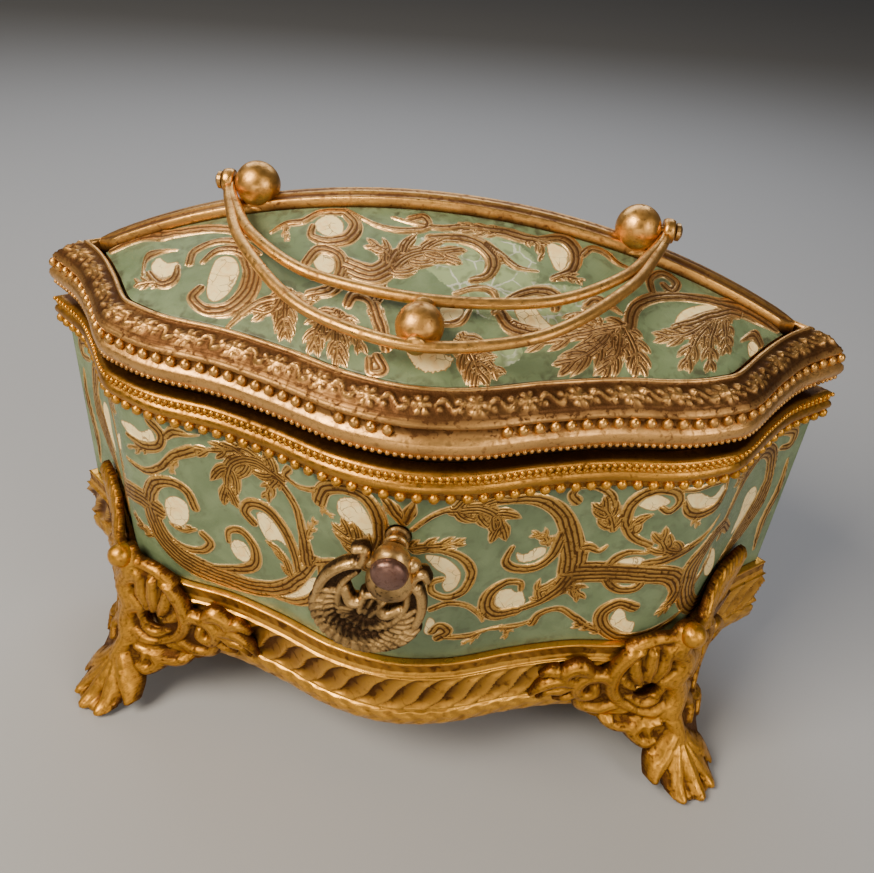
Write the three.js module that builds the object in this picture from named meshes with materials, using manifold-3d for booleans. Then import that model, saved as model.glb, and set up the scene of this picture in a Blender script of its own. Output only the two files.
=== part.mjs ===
// Footed jewelry casket with a domed, hinged lid, a folding carrying handle and a key in its lock.
// Millimetres, +X along the casket, -Y towards its front, +Z up, feet on z = 0.

import * as THREE from 'three';
import { mergeVertices } from 'three/addons/utils/BufferGeometryUtils.js';
import Module from 'manifold-3d';

const wasm = await Module();
wasm.setup();

// Clearance between pieces that touch, and the smallest distance that counts as two vertices.
const gap = 0.3;
const weld = 1e-4;

// Plan outline: the back half, from its centre to the right-hand ear. The other quarters mirror it.
const quarterPlan = [
  [0, 57], [15, 54.5], [30, 48.2], [45, 43], [60, 40.2], [70, 36], [76, 31.6],
  [84, 19.5], [92, 9], [102.5, 0],
];
const halfSteps = 26;
const fineSteps = 240;

// Walls, given as offsets outwards from the plan outline.
const wallOffset = -0.9;
const sheet = 1.2;
const wallTop = 97;
const wallFoot = 24.2;
const liningThickness = 2.2;
const basePlateZ = 21.4;
const floorPadTop = 31;
const liningPlay = 0.6;

// Mouldings: closed profiles of [offset, height].
const plinthProfile = [
  [-0.6, 45], [1.4, 45], [1.5, 41.2], [1.1, 40.4], [2.3, 35.5], [2.3, 31], [1.0, 25.6],
  [1.7, 25], [1.6, 20.8], [-0.6, 20.8],
];
const bodyRimProfile = [
  [-3.0, 97.3], [0.6, 97.3], [1.2, 98.2], [1.5, 99.9], [1.2, 101.3], [1.8, 102.2], [2.0, 103.2], [1.5, 104.6],
  [0.6, 105.3], [-3.0, 105.3],
];
const lidRimProfile = [
  [-4.6, 108.8], [0.2, 108.8], [1.0, 109.6], [1.5, 110.8], [1.6, 112.2], [1.0, 113.8], [0.1, 115.0],
  [0.2, 117.4], [-0.3, 118.7], [-3.2, 120.9], [-5.6, 122.1], [-6.6, 121.8], [-6.6, 119.4],
];
const innerLip = { outer: -3.3, inner: -4.5, foot: 97, top: 108.5 };
const lidLining = { offset: -7, low: 111, high: 116.5 };

// Lid dome: two panels that meet under a ridge band from ear to ear.
const ridgeTop = 145.4;
const ridgeRadius = 192;
const ridgeHalfWidth = 3.5;
const ridgeEnd = 90.2;
const ridgeTaper = 0.62;
const ridgeDepth = 4.6;
const panelDrop = 3.2;
const panelEdge = { offset: -7.5, z: 121.6, clip: 4.6 };
const panelBulge = 1.0;
const panelRows = 4;
const panelGather = 0.02;
const ridgeSteps = 28;
// Half section of the band, as shares of its half width and of its depth.
const ridgeSection = [[-1, -1], [-1, -0.2], [-0.6, 0], [0.6, 0], [1, -0.2], [1, -1]];

// Feet: shields that wrap each shoulder of the plan and run out to a toe.
const shoulderX = 70.5;
const footThickness = 3.2;
const footCrown = 2.4;
// Rows of the shield from crest to toe: [half width, height, reach out from the plan outline].
const footRows = [
  [8, 51, 4.4], [16, 46, 4.6], [23, 38, 5.2], [21, 30, 6], [13, 20.5, 8.2], [9, 13, 11.5],
  [8, 6, 16.5], [6.5, 1.2, 21],
];
const footFree = 15;
const footColumns = 10;
const sole = { x: 79.2, y: 51.6, radius: 3.6, height: 4 };
const footScrewSize = { radius: 1, head: 1.9, start: -4, neck: -2.7, tip: 5, z: 34 };

// Hinge, its axis along X just behind the rims.
const hingeAxis = { y: 59.9, z: 107 };
const knuckleRadius = 1.9;
const hingePinRadius = 0.9;
const hingeHalfWidth = 13;
const knuckleHalf = 4.6;
const hingeLeaf = {
  thickness: 1, bodyY: 59.35, lidY: 58.95, bodyFoot: 97.6, lidFoot: 109.6, lidTop: 117, tongue: 111,
};
const hingeRoom = { y: 3, z: 2.4 };
const rivet = {
  x: 8, bodyZ: 100.5, lidZ: 114.2, radius: 0.9, head: 1.7, crown: 0.8, tail: 0.4, drill: [56, 62],
};

// Handle: two bars that swing on pins in a pair of balls on the ridge.
const pivotX = 46.4;
const pivotZ = 142.7;
const pivotBallRadius = 5.3;
const pinRadius = 1.1;
const studRadius = 1.6;
const studLength = 7.2;
const seatDrop = 2.5;
const pivotBallSteps = 7;
const pinProfile = [
  [0, 0.6], [pinRadius, 0.6], [pinRadius, 8.7], [2.1, 8.9], [2.1, 9.7], [1.2, 10.3], [0, 10.3],
];
const handleEye = { x: 53.5, radius: 2.9, half: 1.2, bore: 4 };
const handleTilt = THREE.MathUtils.degToRad(14.6);
const barRadius = 1.4;
const outerBar = [[53.5, 0], [51.2, 8], [44.7, 21.9], [31.5, 37], [18.9, 44.3], [0, 47.8]];
const innerBar = [[53.5, 0], [50.2, 8], [43.3, 18.6], [31.4, 28.4], [19.3, 32.4], [0, 34.1]];
const handleSteps = 30;
const handleBall = { reach: 41.5, radius: 4.9, neck: 1.9 };

// Lock and key: the key's axis runs along Y at this height.
const keyZ = 86;
const keyTilt = THREE.MathUtils.degToRad(10);
const shankRadius = 2.1;
const bit = { reach: 6, root: 1.6, thickness: 1.6, front: -49.6, back: -45, spigot: 1.1 };
const hub = { front: -70, back: -61, radius: 4.6, pinY: -65.6 };
const hubProfile = [
  [0, hub.back - gap], [2.2, hub.back - gap], [3.6, -62.8], [hub.radius, -65.4], [hub.radius, -67],
  [3.8, -69], [3.2, hub.front], [0, hub.front],
];
const capProfile = [
  [0, hub.front - gap], [3.1, hub.front - gap], [2.8, hub.front - 1.1], [1.6, hub.front - 1.7],
  [0, hub.front - 1.9],
];
const bowPin = { radius: 1, half: 7.6 };
const bowEye = { x: 6.2, radius: 2.3, half: 0.9, stemHalf: 1.1, stem: 4, bore: 2 };
const bow = { centre: -14, outer: 12.8, inner: 7.2, thickness: 2.2, open: 62, shift: 1.6 };
const lockCase = { x: 14, low: 71, high: 96.5, front: -51.9, back: -43.6, skin: 1 };
const curtain = { radius: 6.9, front: -52.3, back: -50.2 };
const bolt = { x: 3.2, low: 92.6, high: 104.5, front: -49.6, back: -46.4 };
const catchPlate = { x: 8, low: 109.1, high: 110.5, front: -51, back: -44.6 };
const catchRoom = 0.5;
const lockCover = 1.2;
const lockScrew = { inset: 3.2, up: 4, boss: 2.2, radius: 0.8, tip: 3.4, head: 1.8, crown: 1.5, rise: 1 };
const drillPinRadius = 0.7;
const keyhole = { radius: 3, half: 1.6, drop: 6.8, front: -59.1, back: -50.1 };

const finishes = {
  enamel: { color: 0x7d9480, roughness: 0.5, metalness: 0.2 },
  gilt: { color: 0xc08a35, roughness: 0.35, metalness: 0.9 },
  wornGilt: { color: 0x9a6a3a, roughness: 0.45, metalness: 0.85 },
  brass: { color: 0x6b4a2c, roughness: 0.45, metalness: 0.85 },
  steel: { color: 0x77777a, roughness: 0.5, metalness: 0.9 },
  silk: { color: 0xcdb98f, roughness: 0.7, metalness: 0 },
};

const casket = new THREE.Group();

// A named piece of the casket in one of the finishes.
function addPiece(name, geometry, finish) {
  const mesh = new THREE.Mesh(geometry, new THREE.MeshStandardMaterial(finishes[finish]));
  mesh.name = name;
  casket.add(mesh);
  return mesh;
}

// Solids and cuts

function weldedShape(geometry) {
  const bare = new THREE.BufferGeometry();
  bare.setAttribute('position', geometry.getAttribute('position').clone());
  if (geometry.index) bare.setIndex(geometry.index.clone());
  return mergeVertices(bare, weld);
}

function toSolid(geometry) {
  const welded = weldedShape(geometry);
  return new wasm.Manifold(new wasm.Mesh({
    numProp: 3,
    vertProperties: new Float32Array(welded.getAttribute('position').array),
    triVerts: new Uint32Array(welded.index.array),
  }));
}

function fromSolid(solid) {
  const mesh = solid.getMesh();
  const geometry = new THREE.BufferGeometry();
  geometry.setAttribute('position', new THREE.BufferAttribute(mesh.vertProperties, 3));
  geometry.setIndex(new THREE.BufferAttribute(mesh.triVerts, 1));
  return geometry;
}

function cut(geometry, ...tools) {
  return fromSolid(tools.reduce((solid, tool) => solid.subtract(toSolid(tool)), toSolid(geometry)));
}

function join(first, ...others) {
  return fromSolid(others.reduce((solid, other) => solid.add(toSolid(other)), toSolid(first)));
}

// Six times the volume inside a triangle list, negative where its faces point inwards.
function signedVolume(points, triangles) {
  let sum = 0;
  for (let i = 0; i < triangles.length; i += 3) {
    const [a, b, c] = [0, 1, 2].map((k) => points[triangles[i + k]]);
    sum += a.dot(new THREE.Vector3().crossVectors(b, c));
  }
  return sum;
}

// Indexed geometry with its faces turned outwards.
function closedBody(points, triangles) {
  const outwards = signedVolume(points, triangles) < 0 ? [...triangles].reverse() : triangles;
  const geometry = new THREE.BufferGeometry().setFromPoints(points);
  geometry.setIndex(outwards);
  return geometry;
}

// Closed solid between two grids of points, [row][column], joined round their edges.
function gridSolid(front, back) {
  const rows = front.length;
  const columns = front[0].length;
  const points = [...front.flat(), ...back.flat()];
  const at = (side, i, j) => side * rows * columns + i * columns + j;
  const triangles = [];
  const quad = (a, b, c, d) => triangles.push(a, b, c, a, c, d);
  for (let i = 0; i + 1 < rows; i += 1) {
    for (let j = 0; j + 1 < columns; j += 1) {
      quad(at(0, i, j), at(0, i, j + 1), at(0, i + 1, j + 1), at(0, i + 1, j));
      quad(at(1, i, j), at(1, i + 1, j), at(1, i + 1, j + 1), at(1, i, j + 1));
    }
    quad(at(0, i, 0), at(0, i + 1, 0), at(1, i + 1, 0), at(1, i, 0));
    quad(at(0, i, columns - 1), at(1, i, columns - 1), at(1, i + 1, columns - 1), at(0, i + 1, columns - 1));
  }
  for (let j = 0; j + 1 < columns; j += 1) {
    quad(at(0, 0, j), at(1, 0, j), at(1, 0, j + 1), at(0, 0, j + 1));
    quad(at(0, rows - 1, j), at(0, rows - 1, j + 1), at(1, rows - 1, j + 1), at(1, rows - 1, j));
  }
  return closedBody(points, triangles);
}

// Ring swept round the plan: rows of points that close on themselves both ways.
function ringSolid(rows) {
  const count = rows[0].length;
  const triangles = [];
  rows.forEach((row, i) => {
    const next = (i + 1) % rows.length;
    for (let j = 0; j < count; j += 1) {
      const k = (j + 1) % count;
      triangles.push(i * count + j, i * count + k, next * count + k);
      triangles.push(i * count + j, next * count + k, next * count + j);
    }
  });
  return closedBody(rows.flat(), triangles);
}

function box(low, high) {
  const [x, y, z] = [0, 1, 2].map((k) => high[k] - low[k]);
  const geometry = new THREE.BoxGeometry(x, y, z);
  return geometry.translate((low[0] + high[0]) / 2, (low[1] + high[1]) / 2, (low[2] + high[2]) / 2);
}

// Turned solid from a profile of [radius, distance], its axis along X, Y or Z through the origin.
function turned(profile, axis, segments = 20) {
  const lathe = new THREE.LatheGeometry(profile.map(([r, d]) => new THREE.Vector2(r, d)), segments);
  if (axis === 'x') lathe.rotateZ(-Math.PI / 2);
  if (axis === 'z') lathe.rotateX(Math.PI / 2);
  const welded = weldedShape(lathe);
  const place = welded.getAttribute('position');
  const pointAt = (_, i) => new THREE.Vector3().fromBufferAttribute(place, i);
  const points = Array.from({ length: place.count }, pointAt);
  const flat = (i) => new Set([0, 1, 2].map((k) => welded.index.array[i + k])).size < 3;
  const triangles = [];
  for (let i = 0; i < welded.index.count; i += 3) {
    if (!flat(i)) triangles.push(...welded.index.array.slice(i, i + 3));
  }
  return closedBody(points, triangles);
}

function rod(axis, radius, from, to, segments = 14) {
  return turned([[0, from], [radius, from], [radius, to], [0, to]], axis, segments);
}

// Round bar along a smooth path.
function bentBar(points, radius, steps) {
  const section = new THREE.Shape();
  section.absarc(0, 0, radius, 0, 2 * Math.PI);
  const extrudePath = new THREE.CatmullRomCurve3(points);
  return new THREE.ExtrudeGeometry(section, { steps, curveSegments: 4, bevelEnabled: false, extrudePath });
}

// Plan outline and its offsets

const planCurve = new THREE.SplineCurve([
  ...quarterPlan.slice(1).reverse().map(([x, y]) => new THREE.Vector2(-x, y)),
  ...quarterPlan.map(([x, y]) => new THREE.Vector2(x, y)),
]);

// Starts a line of points exactly at height y, by cutting it or running its first stretch on.
function startAt(points, y) {
  const first = points.findIndex((p) => p.y > y);
  const a = first > 0 ? points[first - 1] : points[0];
  const b = first > 0 ? points[first] : points[1];
  return [a.clone().lerp(b, (y - a.y) / (b.y - a.y)), ...points.slice(Math.max(first, 1))];
}

function evenlySpaced(points, steps) {
  const lengths = [0];
  points.slice(1).forEach((p, i) => lengths.push(lengths[i] + p.distanceTo(points[i])));
  const total = lengths[lengths.length - 1];
  let k = 1;
  return Array.from({ length: steps + 1 }, (_, n) => {
    const wanted = (n / steps) * total;
    while (k < points.length - 1 && lengths[k] < wanted) k += 1;
    return points[k - 1].clone().lerp(points[k], (wanted - lengths[k - 1]) / (lengths[k] - lengths[k - 1]));
  });
}

// Back half of the outline moved outwards by an offset, ending where it reaches y = clip.
function backHalf(offset, clip = 0, steps = halfSteps) {
  const fine = planCurve.getPoints(fineSteps);
  const moved = fine.map((p, i) => {
    const along = fine[Math.min(i + 1, fineSteps)].clone().sub(fine[Math.max(i - 1, 0)]).normalize();
    return new THREE.Vector2(p.x - along.y * offset, p.y + along.x * offset);
  });
  const opened = startAt(moved, clip).reverse();
  return evenlySpaced(startAt(opened, clip).reverse(), steps);
}

function ring(offset) {
  const back = backHalf(offset);
  const front = back.slice(1, -1).reverse().map((p) => new THREE.Vector2(p.x, -p.y));
  return [...back, ...front];
}

function moulding(profile) {
  return ringSolid(profile.map(([offset, z]) => ring(offset).map((p) => new THREE.Vector3(p.x, p.y, z))));
}

// Flat slab filling the plan at an offset.
function slab(offset, low, high) {
  const shape = new THREE.Shape(ring(offset));
  return new THREE.ExtrudeGeometry(shape, { depth: high - low, bevelEnabled: false }).translate(0, 0, low);
}

// One wall from ear to ear; side is 1 for the back and -1 for the front.
function wallHalf(side, outer, inner, low, high) {
  const face = (offset) => [low, high].map((z) => backHalf(offset, gap / 2)
    .map((p) => new THREE.Vector3(p.x, side * p.y, z)));
  return gridSolid(face(outer), face(inner));
}

// Body

// Point of the plan outline at the shoulder, where a foot's spine stands.
const fineLine = planCurve.getPoints(fineSteps);
const shoulderIndex = fineLine.findIndex((p) => p.x >= shoulderX);

// Screw through the wall into a foot, its head inside; grow makes the matching drill.
function footScrew(sx, sy, grow = 0) {
  const { radius, head, start, neck, tip, z } = footScrewSize;
  const profile = [
    [0, start - grow], [head + grow, start - grow], [head + grow, neck + grow], [radius + grow, neck + grow],
    [radius + grow, tip + grow], [0, tip + grow],
  ];
  const spot = fineLine[shoulderIndex];
  const along = fineLine[shoulderIndex + 1].clone().sub(spot).normalize();
  const spin = Math.atan2(sx * along.y, sy * along.x);
  return turned(profile, 'y', 12).rotateZ(spin).translate(sx * spot.x, sy * spot.y, z);
}

// Foot shield: it wraps the shoulder, crowned along its spine, and narrows down to a toe that runs outwards.
function footShield(sx, sy) {
  const stepLength = fineLine[shoulderIndex].distanceTo(fineLine[shoulderIndex + 1]);
  const plinthReach = Math.max(...plinthProfile.map(([offset]) => offset)) + gap;
  const face = (depth) => footRows.map(([halfWidth, z, reach]) => (
    Array.from({ length: footColumns + 1 }, (_, j) => {
      const across = (j / footColumns) * 2 - 1;
      const index = Math.round(shoulderIndex + (across * halfWidth) / stepLength);
      const p = fineLine[Math.min(index, fineLine.length - 2)];
      const along = fineLine[Math.min(index + 1, fineLine.length - 1)].clone().sub(p).normalize();
      const front = reach + footCrown * (1 - across * across);
      const clear = z > footFree ? Math.max(front - depth, plinthReach) : front - depth;
      const out = depth > 0 ? clear : front;
      return new THREE.Vector3(sx * (p.x - along.y * out), sy * (p.y + along.x * out), z);
    })));
  return gridSolid(face(0), face(footThickness));
}

function toePad(sx, sy) {
  const pad = rod('z', sole.radius, 0, sole.height, 16);
  return pad.translate(sx * sole.x, sy * sole.y, 0);
}

function addBody() {
  const { half, front: holeFront, back: holeBack } = keyhole;
  const opening = join(
    rod('y', keyhole.radius, holeFront, holeBack, 24).translate(0, 0, keyZ),
    box([-half, holeFront, keyZ - keyhole.drop], [half, holeBack, keyZ]),
  );
  const inner = wallOffset - sheet;
  const drills = [];
  for (const [sx, sideName] of [[-1, 'left'], [1, 'right']]) {
    for (const [sy, frontName] of [[-1, 'front'], [1, 'back']]) {
      const drill = footScrew(sx, sy, gap);
      drills.push(drill);
      addPiece(`foot_screw_${frontName}_${sideName}`, footScrew(sx, sy), 'steel');
      const shield = join(footShield(sx, sy), toePad(sx, sy));
      addPiece(`foot_${frontName}_${sideName}`, cut(shield, drill), 'gilt');
    }
  }
  const wall = (side) => wallHalf(side, wallOffset, inner, wallFoot, wallTop);
  addPiece('wall_front', cut(wall(-1), opening, ...drills), 'enamel');
  addPiece('wall_back', cut(wall(1), ...drills), 'enamel');
  addPiece('plinth_moulding', cut(moulding(plinthProfile), ...drills), 'gilt');
  addPiece('base_plate', slab(wallOffset, basePlateZ, wallFoot - gap), 'wornGilt');
  addPiece('body_rim', moulding(bodyRimProfile), 'gilt');
  const { outer, inner: lipInner, foot, top } = innerLip;
  const lip = moulding([[outer, foot], [outer, top], [lipInner, top], [lipInner, foot]]);
  addPiece('inner_lip', lip, 'wornGilt');
  const liningOuter = inner - gap;
  const liningInner = liningOuter - liningThickness;
  const lining = moulding([
    [liningOuter, floorPadTop + liningPlay], [liningOuter, foot - gap], [liningInner, foot - gap],
    [liningInner, floorPadTop + liningPlay],
  ]);
  const { x, low, high, front } = lockCase;
  const recess = [x, low, high].map((size, i) => size + (i === 1 ? -liningPlay : liningPlay));
  const lockRecess = box([-recess[0], front - 9, recess[1]], [recess[0], front + 12, recess[2]]);
  addPiece('wall_lining', cut(lining, lockRecess, ...drills), 'silk');
  addPiece('floor_pad', slab(inner - 0.5, wallFoot + liningPlay, floorPadTop), 'silk');
}

// Lid

function ridgeHeight(x) {
  return ridgeTop - ridgeRadius + Math.sqrt(ridgeRadius ** 2 - x * x);
}

function domePanel(side) {
  const { offset, z: edgeZ, clip } = panelEdge;
  const rim = backHalf(offset, clip);
  const face = (depth) => Array.from({ length: panelRows + 1 }, (_, i) => rim.map((p) => {
    const up = i / panelRows;
    const x = p.x * (1 - panelGather * up);
    const y = THREE.MathUtils.lerp(p.y, ridgeHalfWidth + gap, up);
    const z = THREE.MathUtils.lerp(edgeZ, Math.max(ridgeHeight(x) - panelDrop, edgeZ), up);
    const bulge = 4 * up * (1 - up) * panelBulge * (p.y / quarterPlan[0][1]);
    return new THREE.Vector3(x, side * y, z + bulge - depth);
  }));
  return gridSolid(face(0), face(sheet));
}

// Band along the ridge: a low crowned section that narrows towards both ears.
function ridgeBand() {
  const row = (t) => {
    const x = THREE.MathUtils.lerp(1 - ridgeEnd, ridgeEnd - 1, t);
    const half = Math.min(ridgeHalfWidth, (ridgeEnd - Math.abs(x)) * ridgeTaper);
    return ridgeSection.map(([w, d]) => new THREE.Vector3(x, w * half, ridgeHeight(x) + d * ridgeDepth));
  };
  const rows = Array.from({ length: ridgeSteps + 1 }, (_, i) => row(i / ridgeSteps));
  const count = ridgeSection.length;
  const triangles = [];
  for (let i = 0; i < ridgeSteps; i += 1) {
    for (let j = 0; j < count; j += 1) {
      const k = (j + 1) % count;
      triangles.push(i * count + j, i * count + k, (i + 1) * count + k);
      triangles.push(i * count + j, (i + 1) * count + k, (i + 1) * count + j);
    }
  }
  for (let j = 1; j + 1 < count; j += 1) {
    const last = ridgeSteps * count;
    triangles.push(0, j + 1, j, last, last + j, last + j + 1);
  }
  return closedBody(rows.flat(), triangles);
}

// Ball with a flat seat on the ridge band and a stud down through it, bored for its pin.
function pivotBall(side) {
  const profile = [[0, -studLength], [studRadius, -studLength], [studRadius, -seatDrop]];
  const seatTurn = -Math.asin(seatDrop / pivotBallRadius);
  for (let i = 0; i <= pivotBallSteps; i += 1) {
    const turn = THREE.MathUtils.lerp(seatTurn, Math.PI / 2, i / pivotBallSteps);
    const radius = i === pivotBallSteps ? 0 : pivotBallRadius * Math.cos(turn);
    profile.push([radius, pivotBallRadius * Math.sin(turn)]);
  }
  const reach = pivotBallRadius + 1;
  const bore = rod('x', pinRadius + gap, Math.min(0, side * reach), Math.max(0, side * reach));
  return cut(turned(profile, 'z', 16), bore).translate(side * pivotX, 0, pivotZ);
}

function pivotPin(side) {
  const pin = turned(pinProfile, 'x', 16);
  if (side < 0) pin.rotateZ(Math.PI);
  return pin.translate(side * pivotX, 0, pivotZ);
}

function addLid() {
  addPiece('lid_rim', moulding(lidRimProfile), 'wornGilt');
  addPiece('lid_panel_front', domePanel(-1), 'enamel');
  addPiece('lid_panel_back', domePanel(1), 'enamel');
  const balls = [[-1, 'left'], [1, 'right']];
  const seats = balls.flatMap(([side]) => [
    rod('z', pivotBallRadius, -seatDrop - gap, 6).translate(side * pivotX, 0, pivotZ),
    rod('z', studRadius + gap, -studLength - 1, 0).translate(side * pivotX, 0, pivotZ),
  ]);
  addPiece('ridge_band', cut(ridgeBand(), ...seats), 'wornGilt');
  for (const [side, sideName] of balls) {
    addPiece(`pivot_ball_${sideName}`, pivotBall(side), 'wornGilt');
    addPiece(`pivot_pin_${sideName}`, pivotPin(side), 'wornGilt');
  }
  addPiece('lid_lining', slab(lidLining.offset, lidLining.low, lidLining.high), 'silk');
  const { x, low, high, front, back } = catchPlate;
  const slot = box(
    [-bolt.x - catchRoom, bolt.front - catchRoom, low - 1],
    [bolt.x + catchRoom, bolt.back + catchRoom, high + 1]);
  addPiece('catch_plate', cut(box([-x, front, low], [x, back, high]), slot), 'steel');
}

// Handle

function handlePoint([x, reach]) {
  return new THREE.Vector3(x, -reach * Math.cos(handleTilt), pivotZ - reach * Math.sin(handleTilt));
}

function handleBar(quarter, radius) {
  const left = quarter.slice(0, -1).map(([x, reach]) => [-x, reach]);
  return bentBar([...left, ...[...quarter].reverse()].map(handlePoint), radius, handleSteps);
}

function addHandle() {
  const { x, radius, half, bore } = handleEye;
  const sleeve = (side, size, reach) => (
    rod('x', size, side * x - reach, side * x + reach).translate(0, 0, pivotZ));
  const eyes = [-1, 1].map((side) => sleeve(side, radius, half));
  const bores = [-1, 1].map((side) => sleeve(side, pinRadius + gap, bore));
  addPiece('handle_outer_bar', cut(join(handleBar(outerBar, barRadius), ...eyes), ...bores), 'wornGilt');
  const room = toSolid(join(handleBar(outerBar, barRadius + gap), ...eyes));
  const pieces = toSolid(handleBar(innerBar, barRadius)).subtract(room).decompose();
  const longest = pieces.reduce((a, b) => (b.volume() > a.volume() ? b : a));
  addPiece('handle_inner_bar', fromSolid(longest), 'wornGilt');
  const centre = handlePoint([0, handleBall.reach]);
  const ball = new THREE.SphereGeometry(handleBall.radius, 16, 10).translate(centre.x, centre.y, centre.z);
  const neck = rod('y', handleBall.neck, 0, handleBall.reach - innerBar.at(-1)[1]).rotateX(handleTilt)
    .translate(centre.x, centre.y, centre.z);
  const grooves = [outerBar, innerBar].map((bar) => handleBar(bar, barRadius + gap));
  addPiece('handle_ball', cut(join(ball, neck), ...grooves), 'wornGilt');
}

// Hinge

function leaf(low, high, y) {
  return box([1 - hingeHalfWidth, y, low], [hingeHalfWidth - 1, y + hingeLeaf.thickness, high]);
}

// Rivet from one depth to another, with a head of its own size; a drill has none.
function hingeRivet(x, z, radius, [from, to], head) {
  const tip = to + rivet.crown;
  const profile = [[0, from], [radius, from], [radius, to], [head, to], [head * 0.7, tip], [0, tip]];
  return turned(profile, 'y', 12).translate(x, 0, z);
}

function addHinge() {
  const { y, z } = hingeAxis;
  const { thickness, bodyY, lidY, bodyFoot, lidFoot, lidTop, tongue } = hingeLeaf;
  const barrel = (from, to, radius = knuckleRadius) => rod('x', radius, from, to, 20).translate(0, y, z);
  const bore = () => barrel(-hingeHalfWidth - 1, hingeHalfWidth + 1, hingePinRadius + gap);
  const clear = knuckleHalf + gap;
  const wide = rivet.radius + gap;
  const drills = (height) => [-1, 1].map((side) => (
    hingeRivet(side * rivet.x, height, wide, rivet.drill, wide)));

  const bodyParts = join(
    leaf(bodyFoot, z, bodyY), barrel(-hingeHalfWidth, -clear), barrel(clear, hingeHalfWidth));
  const lidRoom = box([-clear, y - hingeRoom.y, z - hingeRoom.z], [clear, y + hingeRoom.y, z + hingeRoom.z]);
  addPiece('hinge_leaf_body', cut(bodyParts, bore(), lidRoom, ...drills(rivet.bodyZ)), 'brass');

  const lidParts = join(
    box([-knuckleHalf, lidY, z], [knuckleHalf, lidY + thickness, tongue]),
    leaf(lidFoot, lidTop, lidY), barrel(-knuckleHalf, knuckleHalf));
  addPiece('hinge_leaf_lid', cut(lidParts, bore(), ...drills(rivet.lidZ)), 'brass');
  addPiece('hinge_pin', barrel(-hingeHalfWidth - 0.8, hingeHalfWidth + 0.8, hingePinRadius), 'steel');
  for (const [side, sideName] of [[-1, 'left'], [1, 'right']]) {
    const fastener = (height, leafY) => hingeRivet(
      side * rivet.x, height, rivet.radius, [leafY - rivet.tail, leafY + thickness + gap], rivet.head);
    addPiece(`hinge_rivet_body_${sideName}`, fastener(rivet.bodyZ, bodyY), 'brass');
    addPiece(`hinge_rivet_lid_${sideName}`, fastener(rivet.lidZ, lidY), 'brass');
  }
}

// Lock and key

function addLock() {
  const { x, low, high, front, back, skin } = lockCase;
  const { inset, up, boss, radius, tip, head, crown, rise } = lockScrew;
  const screwSpots = [['left', inset - x], ['right', x - inset]];
  const hollow = box([skin - x, front + skin, low + skin], [x - skin, back + 1, high - skin]);
  const boltWay = box([-bolt.x - gap, bolt.front - gap, high - 3], [bolt.x + gap, bolt.back + gap, high + 1]);
  const curtainBore = rod('y', curtain.radius + gap, front - 1, front + 2, 28).translate(0, 0, keyZ);
  const bosses = screwSpots.map(([, sx]) => rod('y', boss, front + 0.2, back, 14).translate(sx, 0, low + up));
  const holes = screwSpots.map(([, sx]) => (
    rod('y', radius + gap, front + 3, back + 4, 12).translate(sx, 0, low + up)));
  const shell = cut(box([-x, front, low], [x, back, high]), hollow, boltWay, curtainBore);
  addPiece('lock_case', cut(join(shell, ...bosses), ...holes), 'steel');
  const coverFront = back + gap;
  const cover = box([-x, coverFront, low], [x, coverFront + lockCover, high]);
  addPiece('lock_cover', cut(cover, ...holes), 'brass');
  const seat = coverFront + lockCover + gap;
  const profile = [
    [0, front + tip], [radius, front + tip], [radius, seat], [head, seat], [crown, seat + rise],
    [0, seat + rise],
  ];
  for (const [sideName, sx] of screwSpots) {
    addPiece(`lock_screw_${sideName}`, turned(profile, 'y', 14).translate(sx, 0, low + up), 'steel');
  }
  const drillPin = rod('y', drillPinRadius, bit.front + 1, coverFront - gap, 12);
  addPiece('drill_pin', drillPin.translate(0, 0, keyZ), 'steel');

  const disc = rod('y', curtain.radius, curtain.front, curtain.back, 28).translate(0, 0, keyZ);
  const shankWay = rod('y', shankRadius + gap, curtain.front - 1, curtain.back + 1, 20).translate(0, 0, keyZ);
  const half = bit.thickness / 2 + gap;
  const bitWay = box([-half, curtain.front - 1, keyZ - bit.reach - gap], [half, curtain.back + 1, keyZ]);
  addPiece('lock_curtain', cut(disc, shankWay, bitWay), 'brass');
  addPiece('lock_bolt', box([-bolt.x, bolt.front, bolt.low], [bolt.x, bolt.back, bolt.high]), 'steel');
}

// Turns a piece of the bow about the key's axis and sets it at the hub's pivot height.
function tiltWithKey(geometry) {
  return geometry.rotateY(keyTilt).translate(0, 0, keyZ);
}

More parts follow.
